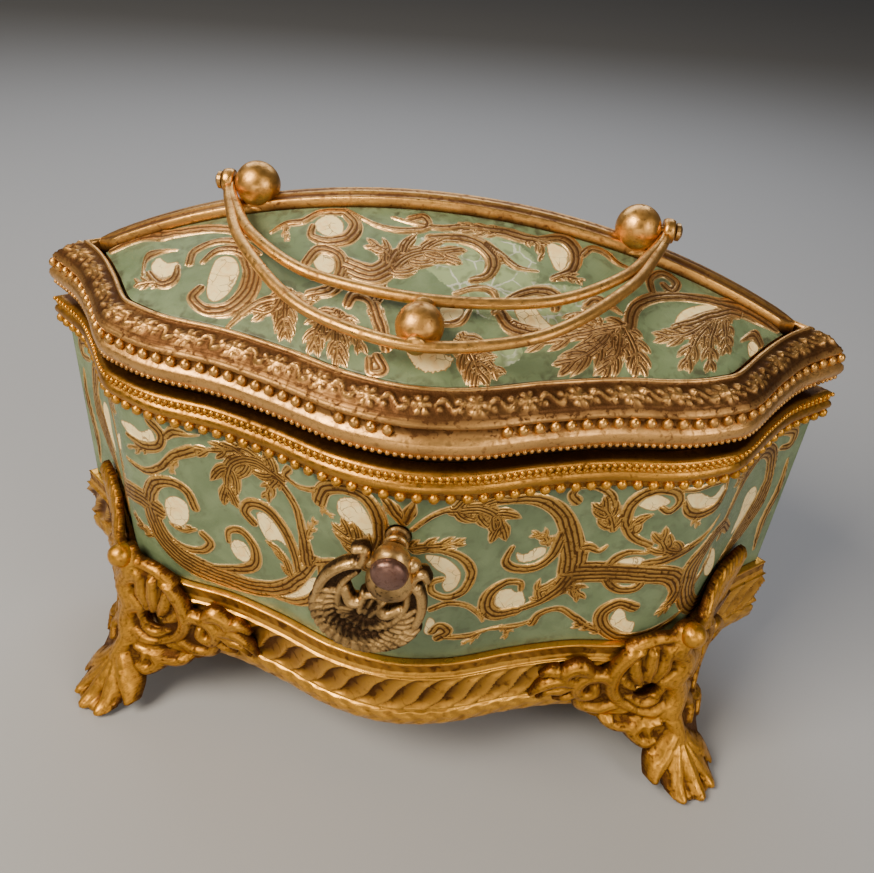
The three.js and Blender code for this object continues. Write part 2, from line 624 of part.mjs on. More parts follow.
function addKey() {
  const shankProfile = [
    [0, hub.back], [shankRadius, hub.back], [shankRadius, bit.back], [bit.spigot, bit.back],
    [bit.spigot, bit.front], [0, bit.front],
  ];
  const shank = turned(shankProfile, 'y', 20).translate(0, 0, keyZ);
  const half = bit.thickness / 2;
  const blade = box([-half, bit.front, keyZ - bit.reach], [half, bit.back, keyZ - bit.root]);
  addPiece('key_shank', join(shank, blade), 'brass');

  const cross = (radius, from, to) => rod('x', radius, from, to, 14).translate(0, hub.pinY, 0);
  const pinBore = tiltWithKey(cross(bowPin.radius + gap, -9, 9));
  addPiece('key_hub', cut(turned(hubProfile, 'y', 24).translate(0, 0, keyZ), pinBore), 'brass');
  addPiece('key_cap', turned(capProfile, 'y', 20).translate(0, 0, keyZ), 'brass');
  addPiece('bow_pin', tiltWithKey(cross(bowPin.radius, -bowPin.half, bowPin.half)), 'brass');

  const open = THREE.MathUtils.degToRad(bow.open);
  const crescent = new THREE.Shape();
  crescent.absarc(0, 0, bow.outer, open, Math.PI - open, true);
  crescent.absarc(0, bow.shift, bow.inner, Math.PI - open, open, false);
  crescent.closePath();
  const plate = new THREE.ExtrudeGeometry(
    crescent, { depth: bow.thickness, bevelEnabled: false, curveSegments: 10 });
  plate.rotateX(Math.PI / 2).translate(0, hub.pinY + bow.thickness / 2, bow.centre);
  const { x, radius, half: eyeHalf, stemHalf, stem, bore } = bowEye;
  const eyes = [-1, 1].map((side) => join(
    rod('x', radius, side * x - eyeHalf, side * x + eyeHalf, 16).translate(0, hub.pinY, 0),
    box([side * x - eyeHalf, hub.pinY - stemHalf, -stem], [side * x + eyeHalf, hub.pinY + stemHalf, 0])));
  const holes = [-1, 1].map((side) => cross(bowPin.radius + gap, side * x - bore, side * x + bore));
  addPiece('key_bow', tiltWithKey(cut(join(plate, ...eyes), ...holes)), 'brass');
}

addBody();
addLid();
addHandle();
addHinge();
addLock();
addKey();

// The frame's origin is under the middle of the whole object's box.
const extent = new THREE.Box3().setFromObject(casket);
casket.position.set(0, -(extent.min.y + extent.max.y) / 2, 0);

export default casket;
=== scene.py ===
import math

import bpy
import numpy as np
from mathutils import Matrix, Vector


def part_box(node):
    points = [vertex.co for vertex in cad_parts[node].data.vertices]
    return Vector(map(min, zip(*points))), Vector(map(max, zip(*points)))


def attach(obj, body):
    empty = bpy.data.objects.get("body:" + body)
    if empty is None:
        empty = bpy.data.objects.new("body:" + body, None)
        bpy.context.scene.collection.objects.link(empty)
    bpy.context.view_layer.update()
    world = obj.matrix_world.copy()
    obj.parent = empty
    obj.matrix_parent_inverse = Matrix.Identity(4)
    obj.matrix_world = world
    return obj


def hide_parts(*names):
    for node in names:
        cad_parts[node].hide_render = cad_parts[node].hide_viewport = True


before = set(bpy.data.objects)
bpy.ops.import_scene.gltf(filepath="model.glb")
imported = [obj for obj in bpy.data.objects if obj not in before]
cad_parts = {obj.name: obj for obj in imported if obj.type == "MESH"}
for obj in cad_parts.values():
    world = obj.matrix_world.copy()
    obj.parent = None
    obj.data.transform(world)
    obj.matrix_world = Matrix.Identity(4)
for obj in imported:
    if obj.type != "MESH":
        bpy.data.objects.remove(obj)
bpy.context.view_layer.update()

scene = bpy.context.scene
baseLow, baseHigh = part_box("base_plate")
midY = (baseLow.y + baseHigh.y) / 2 * 1000      # the plan's centre line, mm
mm = 0.001

# Millimetres are used for every shape; x runs along the casket, -y to its front, z up.


# Lines and grids that the shapes below are built from.

def smoothLine(points, count, closed=False):
    # Catmull-Rom curve through the points: each span is a cubic whose end slopes are half the
    # difference of the neighbouring points.
    p = np.asarray(points, float)
    n = len(p)
    spans = n if closed else n - 1
    t = np.linspace(0, spans, count, endpoint=not closed)
    i = np.minimum(t.astype(int), spans - 1)
    w = (t - i)[:, None]
    if closed:
        a, b, c, d = p[(i - 1) % n], p[i % n], p[(i + 1) % n], p[(i + 2) % n]
    else:
        a, b, c, d = p[np.maximum(i - 1, 0)], p[i], p[i + 1], p[np.minimum(i + 2, n - 1)]
    va, vb = (c - a) / 2, (d - b) / 2
    return (2 * b - 2 * c + va + vb) * w**3 + (3 * c - 3 * b - 2 * va - vb) * w**2 + va * w + b


def evenly(line, count):
    # The same line with its points at equal distances along it.
    s = np.r_[0, np.cumsum(np.linalg.norm(np.diff(line, axis=0), axis=1))]
    u = np.linspace(0, s[-1], count)
    return np.stack([np.interp(u, s, line[:, k]) for k in range(line.shape[1])], 1)


plan = dict(
    quarter=[(0, 57), (15, 54.5), (30, 48.2), (45, 43), (60, 40.2), (70, 36), (76, 31.6), (84, 19.5),
             (92, 9), (102.5, 0)],
    shoulderX=73.5,
    offsetLow=-10.0,
    offsetHigh=5.0,
    offsetStep=0.25,
)
quarter = np.array(plan["quarter"])
planLine = smoothLine(np.vstack([quarter[:0:-1] * [-1, 1], quarter]), 1921)


def startAt(line, y):
    # Starts a line exactly at height y: cut there, or run on along its first stretch.
    first = int(np.argmax(line[:, 1] > y))
    a, b = (line[first - 1], line[first]) if first else (line[0], line[1])
    edge = a + (b - a) * (y - a[1]) / (b[1] - a[1])
    return np.vstack([edge, line[max(first, 1):]])


def halfLine(offset, count, clip=0.0):
    # Back half of the plan moved outwards along its normal, ended where it meets y = clip.
    along = np.gradient(planLine, axis=0)
    along /= np.linalg.norm(along, axis=1)[:, None]
    moved = planLine + offset * np.stack([-along[:, 1], along[:, 0]], 1)
    return evenly(startAt(startAt(moved, clip)[::-1], clip)[::-1], count)


offsets = np.arange(plan["offsetLow"], plan["offsetHigh"] + 1e-6, plan["offsetStep"])


def ringTable(count):
    # Plan loops for every offset: front half from left ear to right ear, then the back half.
    half = np.stack([halfLine(o, count) for o in offsets])
    return np.concatenate([half * [1, -1], half[:, ::-1][:, 1:-1]], axis=1)


def onTable(table, offset, z):
    # Grid of points: column i of the table, moved to its own offset, at its own height.
    k = np.clip((offset - offsets[0]) / plan["offsetStep"], 0, len(offsets) - 1.001)
    low = k.astype(int)
    w = (k - low)[..., None]
    i = np.arange(offset.shape[0])[:, None]
    return np.dstack([table[low, i] * (1 - w) + table[low + 1, i] * w, z])


def gridFaces(rows, columns, closeRows=False, closeColumns=False):
    # Quads between neighbouring points of a grid. A closed side joins its last line to its first.
    index = np.arange(rows * columns).reshape(rows, columns)
    if closeRows:
        index = np.vstack([index, index[:1]])
    if closeColumns:
        index = np.hstack([index, index[:, :1]])
    corners = [index[:-1, :-1], index[1:, :-1], index[1:, 1:], index[:-1, 1:]]
    return np.stack(corners, -1).reshape(-1, 4)


def signedVolume(points, faces):
    # Six times the volume inside the quads: the sum of a . (b x c) + a . (c x d), positive when
    # they point outwards.
    a, b, c, d = (points[faces[:, k]] for k in range(4))
    return np.einsum("ij,ij->", a, np.cross(b, c)) + np.einsum("ij,ij->", a, np.cross(c, d))


def makeMesh(name, points, faces, layers=None, centre=(0, 0, 75)):
    # Smooth mesh from whole arrays, in millimetres. All faces are turned over if their signed
    # volume against the centre is negative.
    points = np.asarray(points, float).reshape(-1, 3)
    faces = np.asarray(faces)
    if signedVolume(points - centre, faces) < 0:
        faces = faces[:, ::-1]
    mesh = bpy.data.meshes.new(name)
    mesh.vertices.add(len(points))
    mesh.vertices.foreach_set("co", ((points + [0, midY, 0]) * mm).ravel())
    mesh.loops.add(faces.size)
    mesh.loops.foreach_set("vertex_index", faces.ravel())
    mesh.polygons.add(len(faces))
    mesh.polygons.foreach_set("loop_start", np.arange(0, faces.size, 4))
    mesh.polygons.foreach_set("use_smooth", np.ones(len(faces), bool))
    for layerName, values in (layers or {}).items():
        mesh.attributes.new(layerName, "FLOAT", "POINT").data.foreach_set("value", np.ravel(values))
    mesh.update(calc_edges=True)
    mesh.validate()
    return mesh


def addPiece(name, mesh, body, material, replaced=()):
    # Puts a mesh in the scene with its body and material; replaced names the nodes it hides.
    piece = bpy.data.objects.new(name, mesh)
    scene.collection.objects.link(piece)
    mesh.materials.clear()
    mesh.materials.append(material)
    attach(piece, body)
    if replaced:
        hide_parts(*replaced)
    return piece


def joined(parts):
    # One array of points and one of faces from several (points, faces) pairs.
    points, faces, start = [], [], 0
    for p, f in parts:
        points.append(p)
        faces.append(f + start)
        start += len(p)
    return np.vstack(points), np.vstack(faces)


def capped(rings):
    # Closed skin over a stack of rings: quads between them and a fan of thin quads at each end.
    n, m = rings.shape[:2]
    points = np.vstack([rings.reshape(-1, 3), rings[0].mean(0), rings[-1].mean(0)])
    faces = gridFaces(n, m, closeColumns=True)
    k = np.arange(0, m, 2)
    first = np.stack([np.full_like(k, n * m), k, (k + 1) % m, (k + 2) % m], 1)
    last = np.stack([np.full_like(k, n * m + 1), (k + 2) % m, (k + 1) % m, k], 1)
    last[:, 1:] += (n - 1) * m
    return points, np.vstack([faces, first[:, ::-1], last[:, ::-1]])


def tube(path, radii, sides, count, squash):
    # Oval bar: a circle whose radius follows radii is carried along the path, its upright axis
    # scaled by squash.
    line = smoothLine(path, count)
    r = np.interp(np.linspace(0, 1, count), np.linspace(0, 1, len(radii)), radii)
    along = np.gradient(line, axis=0)
    along /= np.linalg.norm(along, axis=1)[:, None]
    side = np.cross(along, (0, 0, 1))
    side /= np.linalg.norm(side, axis=1)[:, None] + 1e-9
    up = np.cross(side, along)
    turn = np.linspace(0, 2 * np.pi, sides, endpoint=False)
    rings = line[:, None] + r[:, None, None] * (
        side[:, None] * np.cos(turn)[:, None] + squash * up[:, None] * np.sin(turn)[:, None])
    return capped(rings)


def lathe(profile, axis, centre, segments, smoothCount=0):
    # Profile of (radius, distance) turned about the y or z axis through the centre: a point is
    # (r cos t, r sin t) across the axis. The least radius keeps the ends from closing to a point.
    leastRadius = 0.004
    prof = smoothLine(profile, smoothCount) if smoothCount else np.array(profile, float)
    turn = np.linspace(0, 2 * np.pi, segments, endpoint=False)
    r = np.maximum(prof[:, :1], leastRadius)
    a, b, d = r * np.cos(turn), r * np.sin(turn), np.repeat(prof[:, 1:2], segments, 1)
    order = {"y": (b, d, a), "z": (a, b, d)}[axis]
    return capped(np.dstack(order) + np.asarray(centre, float))


def ball(centre, radius, segments, rows):
    # Sphere: a half circle of that radius turned about the upright axis.
    turn = np.linspace(-np.pi / 2, np.pi / 2, rows)
    profile = np.stack([radius * np.cos(turn), radius * np.sin(turn)], 1)
    return lathe(profile, "z", centre, segments)


# Engraved ornament: strokes, leaves and cells drawn on a flat sheet, which is then wrapped.

def sheetGrid(across, up):
    # Place across and height of every grid point, as two tables whose rows run upwards.
    return (g.T.copy() for g in np.meshgrid(across, up))


def newFields(s, h):
    # Empty drawing: every distance starts well outside all figures, the rest at zero.
    far = np.full(s.shape, -6.0)
    return dict(s=s, h=h, gold=far.copy(), ivory=far.copy(), pale=far.copy(), flute=0 * s, round=0 * s)


def layStroke(fields, points, widths, pitch=1.25, bold=1.0):
    # Tapered stroke. Its value is half width minus distance to the centre line, positive inside;
    # flute is the distance across the stroke in pitches, and round is the height of a circle of
    # that half width: sqrt(w^2 - (w - value)^2).
    spacing, margin = 0.3, 1.6
    line = smoothLine(points, 40 * len(points))
    length = np.linalg.norm(np.diff(line, axis=0), axis=1).sum()
    line = evenly(line, max(int(length / spacing), 6))
    half = np.interp(np.linspace(0, 1, len(line)), np.linspace(0, 1, len(widths)), widths) * bold
    along = np.gradient(line, axis=0)
    along /= np.linalg.norm(along, axis=1)[:, None] + 1e-9
    reach = half.max() + margin
    low, high = line.min(0) - reach, line.max(0) + reach
    s, h = fields["s"], fields["h"]
    near = (s > low[0]) & (s < high[0]) & (h > low[1]) & (h < high[1])
    if not near.any():
        return
    ps, ph = s[near][:, None] - line[:, 0], h[near][:, None] - line[:, 1]
    value = half - np.hypot(ps, ph)
    best = value.argmax(1)
    row = np.arange(len(best))
    value = value[row, best]
    across = along[best, 0] * ph[row, best] - along[best, 1] * ps[row, best]
    old = fields["gold"][near]
    fields["flute"][near] = np.where(value > old, across / pitch, fields["flute"][near])
    fields["gold"][near] = np.maximum(old, value)
    width = half[best]
    bulge = np.sqrt(np.clip(width**2 - (width - value)**2, 0, None) * (value > 0))
    fields["round"][near] = np.maximum(fields["round"][near], bulge)


def layLeaf(fields, spine, reach, lobes=5, sides=(1, -1)):
    # Acanthus leaf: broad pointed lobes leave both sides of a spine, longest at its middle, each
    # bending towards the tip; the spine itself fills the leaf between them.
    line = evenly(smoothLine(spine, 120), 60)
    along = np.gradient(line, axis=0)
    along /= np.linalg.norm(along, axis=1)[:, None]
    for k in range(lobes):
        f = (k + 0.45) / lobes
        i = int(f * 59)
        size = reach * (0.62 + 0.5 * math.sin(math.pi * min(f + 0.1, 1)))
        t = along[i]
        for side in sides:
            lean = math.radians(74 - 42 * f) * side
            c, s = math.cos(lean), math.sin(lean)
            d = np.array([t[0] * c - t[1] * s, t[0] * s + t[1] * c])
            tip = line[i] + (d * 0.82 + t * 0.5) * size
            layStroke(fields, [line[i] - t * reach * 0.2, line[i] + d * size * 0.5, tip],
                      (0.24 * reach, 0.33 * reach, 0.22 * reach, 0.04), pitch=0.8)
    layStroke(fields, spine, (0.3 * reach, 0.45 * reach, 0.3 * reach, 0.06), pitch=0.8)


def layCell(fields, outline, rag=0.0, key="ivory"):
    # Filled cell: distance to a smooth closed outline, positive inside it (even-odd rule).
    line = smoothLine(outline, 16 * len(outline), closed=True)
    low, high = line.min(0) - 1.5, line.max(0) + 1.5
    s, h = fields["s"], fields["h"]
    near = (s > low[0]) & (s < high[0]) & (h > low[1]) & (h < high[1])
    if not near.any():
        return
    ps, ph = s[near][:, None], h[near][:, None]
    distance = np.hypot(ps - line[:, 0], ph - line[:, 1]).min(1)
    a, b = line, np.roll(line, -1, axis=0)
    crosses = (a[:, 1] > ph) != (b[:, 1] > ph)
    at = a[:, 0] + (ph - a[:, 1]) / (b[:, 1] - a[:, 1] + 1e-12) * (b[:, 0] - a[:, 0])
    inside = (crosses & (ps < at)).sum(1) % 2 == 1
    value = np.where(inside, distance, -distance)
    value -= rag * np.abs(np.sin(ps[:, 0] * 2.1 + ph[:, 0] * 1.3))
    fields[key][near] = np.maximum(fields[key][near], value)


wallOrnament = dict(
    strokes=[
        # right of the lock
        ([(3, 88), (8, 93), (14, 95), (22, 95.6), (30, 95), (36, 92), (40, 87), (43, 79), (44, 71)],
         (0.5, 0.8, 1.6, 2.6)),
        ([(44, 76), (44, 70), (42, 65), (37, 61), (31, 58.5)], (2.4, 2.2, 1.2, 0.6)),
        ([(31, 58.5), (26, 58.6), (23, 62), (23.4, 66.5), (27, 69.2), (31, 68.4), (31.6, 66)],
         (1.2, 1.6, 1.5, 0.9, 0.6)),
        ([(44, 69.5), (50, 69.8), (56, 69.6), (64, 69), (71, 67), (74, 62), (73.5, 58)],
         (2.5, 2.4, 2.2, 2.2, 1.4)),
        ([(43, 78), (47, 78.2), (50, 76.8), (51.6, 78.4)], (1.2, 1.2, 0.7, 0.4)),
        ([(62, 76.4), (57, 76.4), (53.8, 73), (53.6, 67.6), (57, 64), (61.5, 64.4), (62.8, 67.6),
          (60.6, 69.4), (59.4, 67.6)],
         (0.5, 0.9, 1.1, 1.0, 0.6)),
        ([(62, 73), (67, 73.4), (72, 75), (77, 78.4), (82, 83.5)], (0.7, 1.3, 1.0, 0.6, 0.3)),
        ([(62, 79), (57, 82), (54.6, 87.5), (55.6, 93), (60, 96), (65, 95.2), (66.8, 92), (64.8, 89.4),
          (62.6, 90.6)],
         (0.8, 1.2, 1.1, 0.9, 0.7)),
        ([(41.5, 93), (40, 95), (42, 97), (46, 96.6), (50, 94), (51.6, 89.4)], (1.1, 0.6, 0.7, 0.8, 0.5)),
        ([(67, 95.6), (71, 95.2), (75, 96), (79.4, 96.2), (80.4, 93)], (0.6, 0.6, 0.7, 0.4)),
        ([(68, 92), (70, 88.6), (74, 87), (78.5, 88.6), (80.4, 92)], (0.5, 1.2, 1.3, 0.7)),
        ([(62.5, 57.6), (58.4, 59), (54.8, 55.6), (55.6, 50.6), (60, 47), (67, 46.4), (74, 49), (79, 53)],
         (1.3, 1.4, 1.5, 1.2, 0.8, 0.4)),
        ([(36.4, 53.4), (38, 56.4), (43, 57.4), (47.6, 54), (52, 50.2), (57, 48)], (1.0, 0.7, 0.8, 0.9, 0.6)),
        ([(13, 53), (19, 52.6), (25, 53.6), (31, 53), (36, 54)], (0.7, 0.8, 0.5, 0.8, 0.5)),
        ([(27.4, 80.6), (26.2, 76.4), (29.4, 73.4), (34.6, 73.2), (38.2, 76.6), (39.4, 82), (40.6, 86)],
         (0.6, 1.0, 1.1, 1.2, 1.0)),
        ([(4, 81.4), (9, 82.4), (14.6, 80), (17.8, 75), (16.8, 69.4), (12.8, 66.8), (9, 68.6), (8.4, 71.8),
          (10.8, 73)],
         (0.5, 0.8, 1.0, 1.0, 0.8, 0.7)),
        ([(9, 63), (13, 64.8), (17.6, 63.6), (21, 60), (22.6, 57)], (0.7, 0.7, 0.6, 0.4)),
        ([(11.6, 53), (13.6, 55), (11.6, 57), (9.8, 55)], (1.1, 1.1, 0.8)),
        # left of the lock
        ([(-19.6, 90), (-18, 94), (-13, 96.2), (-8, 95), (-4.8, 90.4), (-4, 84.6), (-5.4, 79)],
         (1.5, 1.4, 1.3, 1.4, 1.0)),
        ([(-28.4, 94.6), (-29.4, 92.4), (-26, 91), (-22.4, 91.6), (-19.4, 93.2)], (0.9, 0.5, 0.6, 0.7)),
        ([(-35, 91), (-30.4, 89), (-26.4, 84), (-24.4, 77), (-23, 69)], (0.7, 0.9, 1.1, 1.8)),
        ([(-56, 90), (-61, 87), (-65.4, 82), (-71, 78.4), (-78, 79)], (1.3, 0.9, 0.9, 0.5)),
        ([(-66.6, 95.2), (-63.8, 92.4), (-65, 88.8), (-70, 86.4), (-76, 87.4)], (1.3, 1.0, 1.2, 0.6)),
        ([(-62.6, 92), (-60, 94.6), (-56, 94.6), (-53, 95.4)], (0.6, 1.2, 0.5, 0.2)),
        ([(-56.4, 72), (-58.4, 77), (-63, 78.4), (-68.6, 75), (-71, 67), (-68, 58), (-59, 51.8), (-48, 49.8),
          (-38, 51.4),
          (-30, 56.4), (-24.6, 63.6), (-20.4, 71)], (1.0, 1.2, 2.0, 2.6, 2.6, 2.2, 1.8, 1.5, 0.8)),
        ([(-66.6, 60), (-61, 57.2), (-55.6, 57.8), (-53, 61), (-55, 63.6)], (0.4, 0.8, 1.0, 0.9)),
        ([(-47.6, 63.6), (-47.2, 67.4), (-43, 68.8), (-39.6, 65), (-39.8, 59.4), (-44, 55.4), (-50, 53.2),
          (-55, 52.4)],
         (0.6, 1.0, 1.3, 1.1, 0.7)),
        ([(-39.6, 73.6), (-42, 76), (-39.8, 79.4), (-35, 79.8), (-30.4, 76), (-27.4, 70), (-26, 64)],
         (1.1, 1.2, 1.2, 1.3, 1.0)),
        ([(-36, 50.2), (-27, 52.6), (-20.6, 58.4), (-18.6, 65), (-19.6, 71)], (0.4, 1.0, 1.3, 0.8)),
        ([(-20, 70), (-15, 72.6), (-10, 73)], (0.9, 1.0, 0.4)),
        ([(-69, 67), (-77, 68), (-85, 64), (-91, 57)], (2.4, 2.3, 1.7, 0.8)),
        # canted sides
        ([(94, 71.6), (88, 76.4), (81.6, 75.6), (77, 68), (78.6, 57), (86, 49), (94, 48), (99, 53),
          (96.6, 57)],
         (1.1, 1.7, 2.2, 2.4, 2.0, 1.4, 0.8)),
        ([(88, 72), (90, 81), (95, 89.4), (102, 92.6), (109, 88.6), (112, 79)], (0.7, 1.2, 1.6, 1.7, 1.3)),
        ([(112, 80), (110.6, 71), (105, 63), (98, 58.6)], (1.3, 2.5, 2.8, 0.8)),
        ([(89, 49.6), (97, 55), (104, 60), (110, 63)], (0.5, 1.3, 1.3, 0.4)),
        ([(112, 95), (116.4, 93.4), (116.4, 89.4), (112.8, 89.6)], (0.8, 1.2, 1.0, 0.7)),
        ([(118, 84), (119, 74), (117, 62), (118, 51)], (0.4, 1.0, 1.1, 0.4)),
        ([(-88, 60), (-92, 52), (-100, 49), (-106, 53), (-103, 58)], (2.0, 2.0, 1.4, 0.9)),
        ([(-84, 72), (-90, 81), (-96, 89), (-103, 92), (-109, 88), (-112, 79)], (0.7, 1.2, 1.6, 1.7, 1.3)),
        ([(-112, 80), (-110.6, 71), (-105, 63), (-98, 59)], (1.3, 2.5, 2.8, 0.8)),
        ([(-112, 95), (-116.4, 93.4), (-116.4, 89.4), (-112.8, 89.6)], (0.8, 1.2, 1.0, 0.7)),
        ([(-118, 84), (-119, 74), (-117, 62), (-118, 51)], (0.4, 1.0, 1.1, 0.4)),
        # stalk ends
        ([(1, 90), (-2, 94), (-4.6, 97)], (0.9, 1.3, 0.3)),
        ([(1, 90), (2.4, 93.6), (3, 96.4)], (0.9, 1.2, 0.3)),
    ],
    leaves=[
        ([(12, 94), (18, 94), (23, 90), (23.4, 84.6)], 4.2, 5, (1, -1)),
        ([(2, 82.6), (8, 83.6), (15.6, 84.6)], 2.2, 5, (1, -1)),
        ([(52, 84), (50.4, 88), (47.8, 91.6)], 3.2, 4, (1, -1)),
        ([(57, 82), (56.8, 86), (59.4, 89)], 2.4, 4, (-1,)),
        ([(72, 75), (67, 77), (64, 82.6)], 3.4, 4, (1, -1)),
        ([(75, 77), (69, 75), (63, 72.4)], 2.0, 4, (1,)),
        ([(38, 61), (36.4, 65), (41, 67)], 2.4, 4, (1, -1)),
        ([(42, 66), (46, 64), (48, 60.6)], 2.4, 3, (1, -1)),
        ([(56, 48), (52, 50), (47.6, 50.6)], 1.8, 4, (-1, 1)),
        ([(73, 58), (72, 55.4), (70.6, 53.4)], 1.8, 3, (1, -1)),
        ([(28, 54), (30, 51), (29, 49)], 1.4, 3, (1, -1)),
        ([(22, 53), (20, 50.6), (17.6, 50)], 1.2, 3, (1, -1)),
        ([(36.6, 80), (35, 83), (32, 84)], 1.8, 3, (1, -1)),
        ([(72, 88), (73, 85), (74.4, 83)], 1.4, 3, (1, -1)),
        ([(-5, 74), (-8.4, 79.4), (-13.6, 84.6)], 4.0, 5, (1, -1)),
        ([(-31, 90.6), (-38, 93), (-44.6, 89.6), (-46.6, 82), (-45.6, 76)], 4.6, 6, (1, -1)),
        ([(-33, 91), (-40, 95), (-48, 92.6), (-56, 89.6)], 2.8, 6, (1, -1)),
        ([(-31, 91), (-34, 86.6), (-35.4, 82.6)], 2.2, 4, (1, -1)),
        ([(-23.6, 76), (-22, 80), (-20.6, 83.8)], 1.5, 4, (1, -1)),
        ([(-28, 60), (-30.4, 66), (-35, 70)], 2.6, 4, (1,)),
        ([(-60, 86), (-62, 83.6), (-61.6, 81.4)], 1.4, 3, (1, -1)),
        ([(-69, 86.6), (-73, 84.6), (-77, 84)], 1.8, 4, (1,)),
        ([(-72, 56), (-76, 57), (-79, 60)], 2.0, 4, (1, -1)),
        ([(-57, 64.6), (-61, 63), (-65, 63.6)], 1.7, 4, (-1,)),
        ([(-19, 90.4), (-18.4, 87.4), (-15.6, 86.6)], 1.3, 3, (1, -1)),
        ([(79, 60), (84, 66), (85, 72)], 1.8, 4, (1,)),
        ([(98, 92), (93, 90), (87, 91)], 2.4, 4, (1, -1)),
        ([(-92, 88), (-87, 90), (-82, 92)], 2.4, 4, (1, -1)),
        ([(-89, 62), (-86, 68), (-88, 74)], 2.4, 4, (1, -1)),
    ],
    cells=[
        ([(6.4, 80.6), (11.4, 79.6), (15.2, 75), (14.8, 70.4), (12.4, 68.6), (11, 71), (11.6, 74),
          (9, 76.4)], 0.0),
        ([(28.2, 79.2), (31, 78), (33.4, 79.6), (36.2, 79.4), (36.6, 77), (33.6, 75), (29.8, 75.2)], 0.4),
        ([(25.4, 66.4), (28.6, 67), (30.6, 65.4), (31.6, 67.4), (33, 63.6), (33.4, 60.4), (28.6, 59.6),
          (25.2, 62)], 0.3),
        ([(56, 74), (60, 75.2), (62.4, 73.6), (60.6, 71.2), (57.2, 70.6), (55.2, 72)], 0.0),
        ([(55.6, 92), (57, 94.4), (61, 94.6), (64.4, 92.4), (62.6, 90.8), (60, 89.8)], 0.0),
        ([(68, 94), (72, 94), (76, 92), (78.6, 95), (80, 92), (77.6, 88.8), (72.4, 88.4), (69.6, 90.6)], 0.3),
        ([(58.4, 57.4), (60.8, 56), (62, 53), (64.4, 51.6), (64, 47.6), (60.4, 48.8), (57.2, 52)], 0.3),
        ([(8.6, 60), (10.4, 58.4), (9.6, 54), (7.8, 55)], 0.0),
        ([(-14.6, 92.4), (-10.6, 94), (-7, 90.6), (-5.2, 84.6), (-6.4, 82), (-8.6, 84.6), (-11.4, 86),
          (-14.8, 88)], 0.4),
        ([(-38.6, 77), (-35.4, 78), (-31.4, 74.4), (-29.2, 69.6), (-32, 70.6), (-35.6, 69.2),
          (-38, 72.6)], 0.4),
        ([(-47.4, 62.4), (-45.4, 65.2), (-42, 64.8), (-40.8, 60.8), (-43, 58), (-46, 58.8)], 0.3),
        ([(-33, 51.4), (-27, 53.4), (-21.6, 59), (-20.6, 64.6), (-24.4, 61.6), (-28.6, 56)], 0.0),
        ([(-65.4, 71), (-62, 74), (-58.6, 72.4), (-58.8, 67), (-62, 63.8), (-65, 65.4)], 0.0),
        ([(-78.6, 90.4), (-74, 91.6), (-70.6, 90.8), (-67, 93), (-65.8, 89.8), (-69, 87.4),
          (-74.4, 87)], 0.3),
        ([(83.4, 68.6), (86.4, 69.6), (90.4, 65.4), (93.6, 58.6), (92, 56), (87.6, 59), (84.8, 63.4)], 0.0),
        ([(101, 79), (105.6, 79.6), (108.4, 75.6), (106.4, 70.6), (103, 67), (99.6, 66), (101, 72)], 0.0),
        ([(-101, 79), (-105.6, 79.6), (-108.4, 75.6), (-106.4, 70.6), (-103, 67), (-99.6, 66),
          (-101, 72)], 0.0),
        ([(-97, 58.6), (-101, 56), (-104, 52), (-99.6, 50.6), (-95.6, 53)], 0.0),
        ([(-82, 84), (-88, 80), (-94, 79), (-90, 76.4), (-84, 77.4)], 0.0),
    ],
)

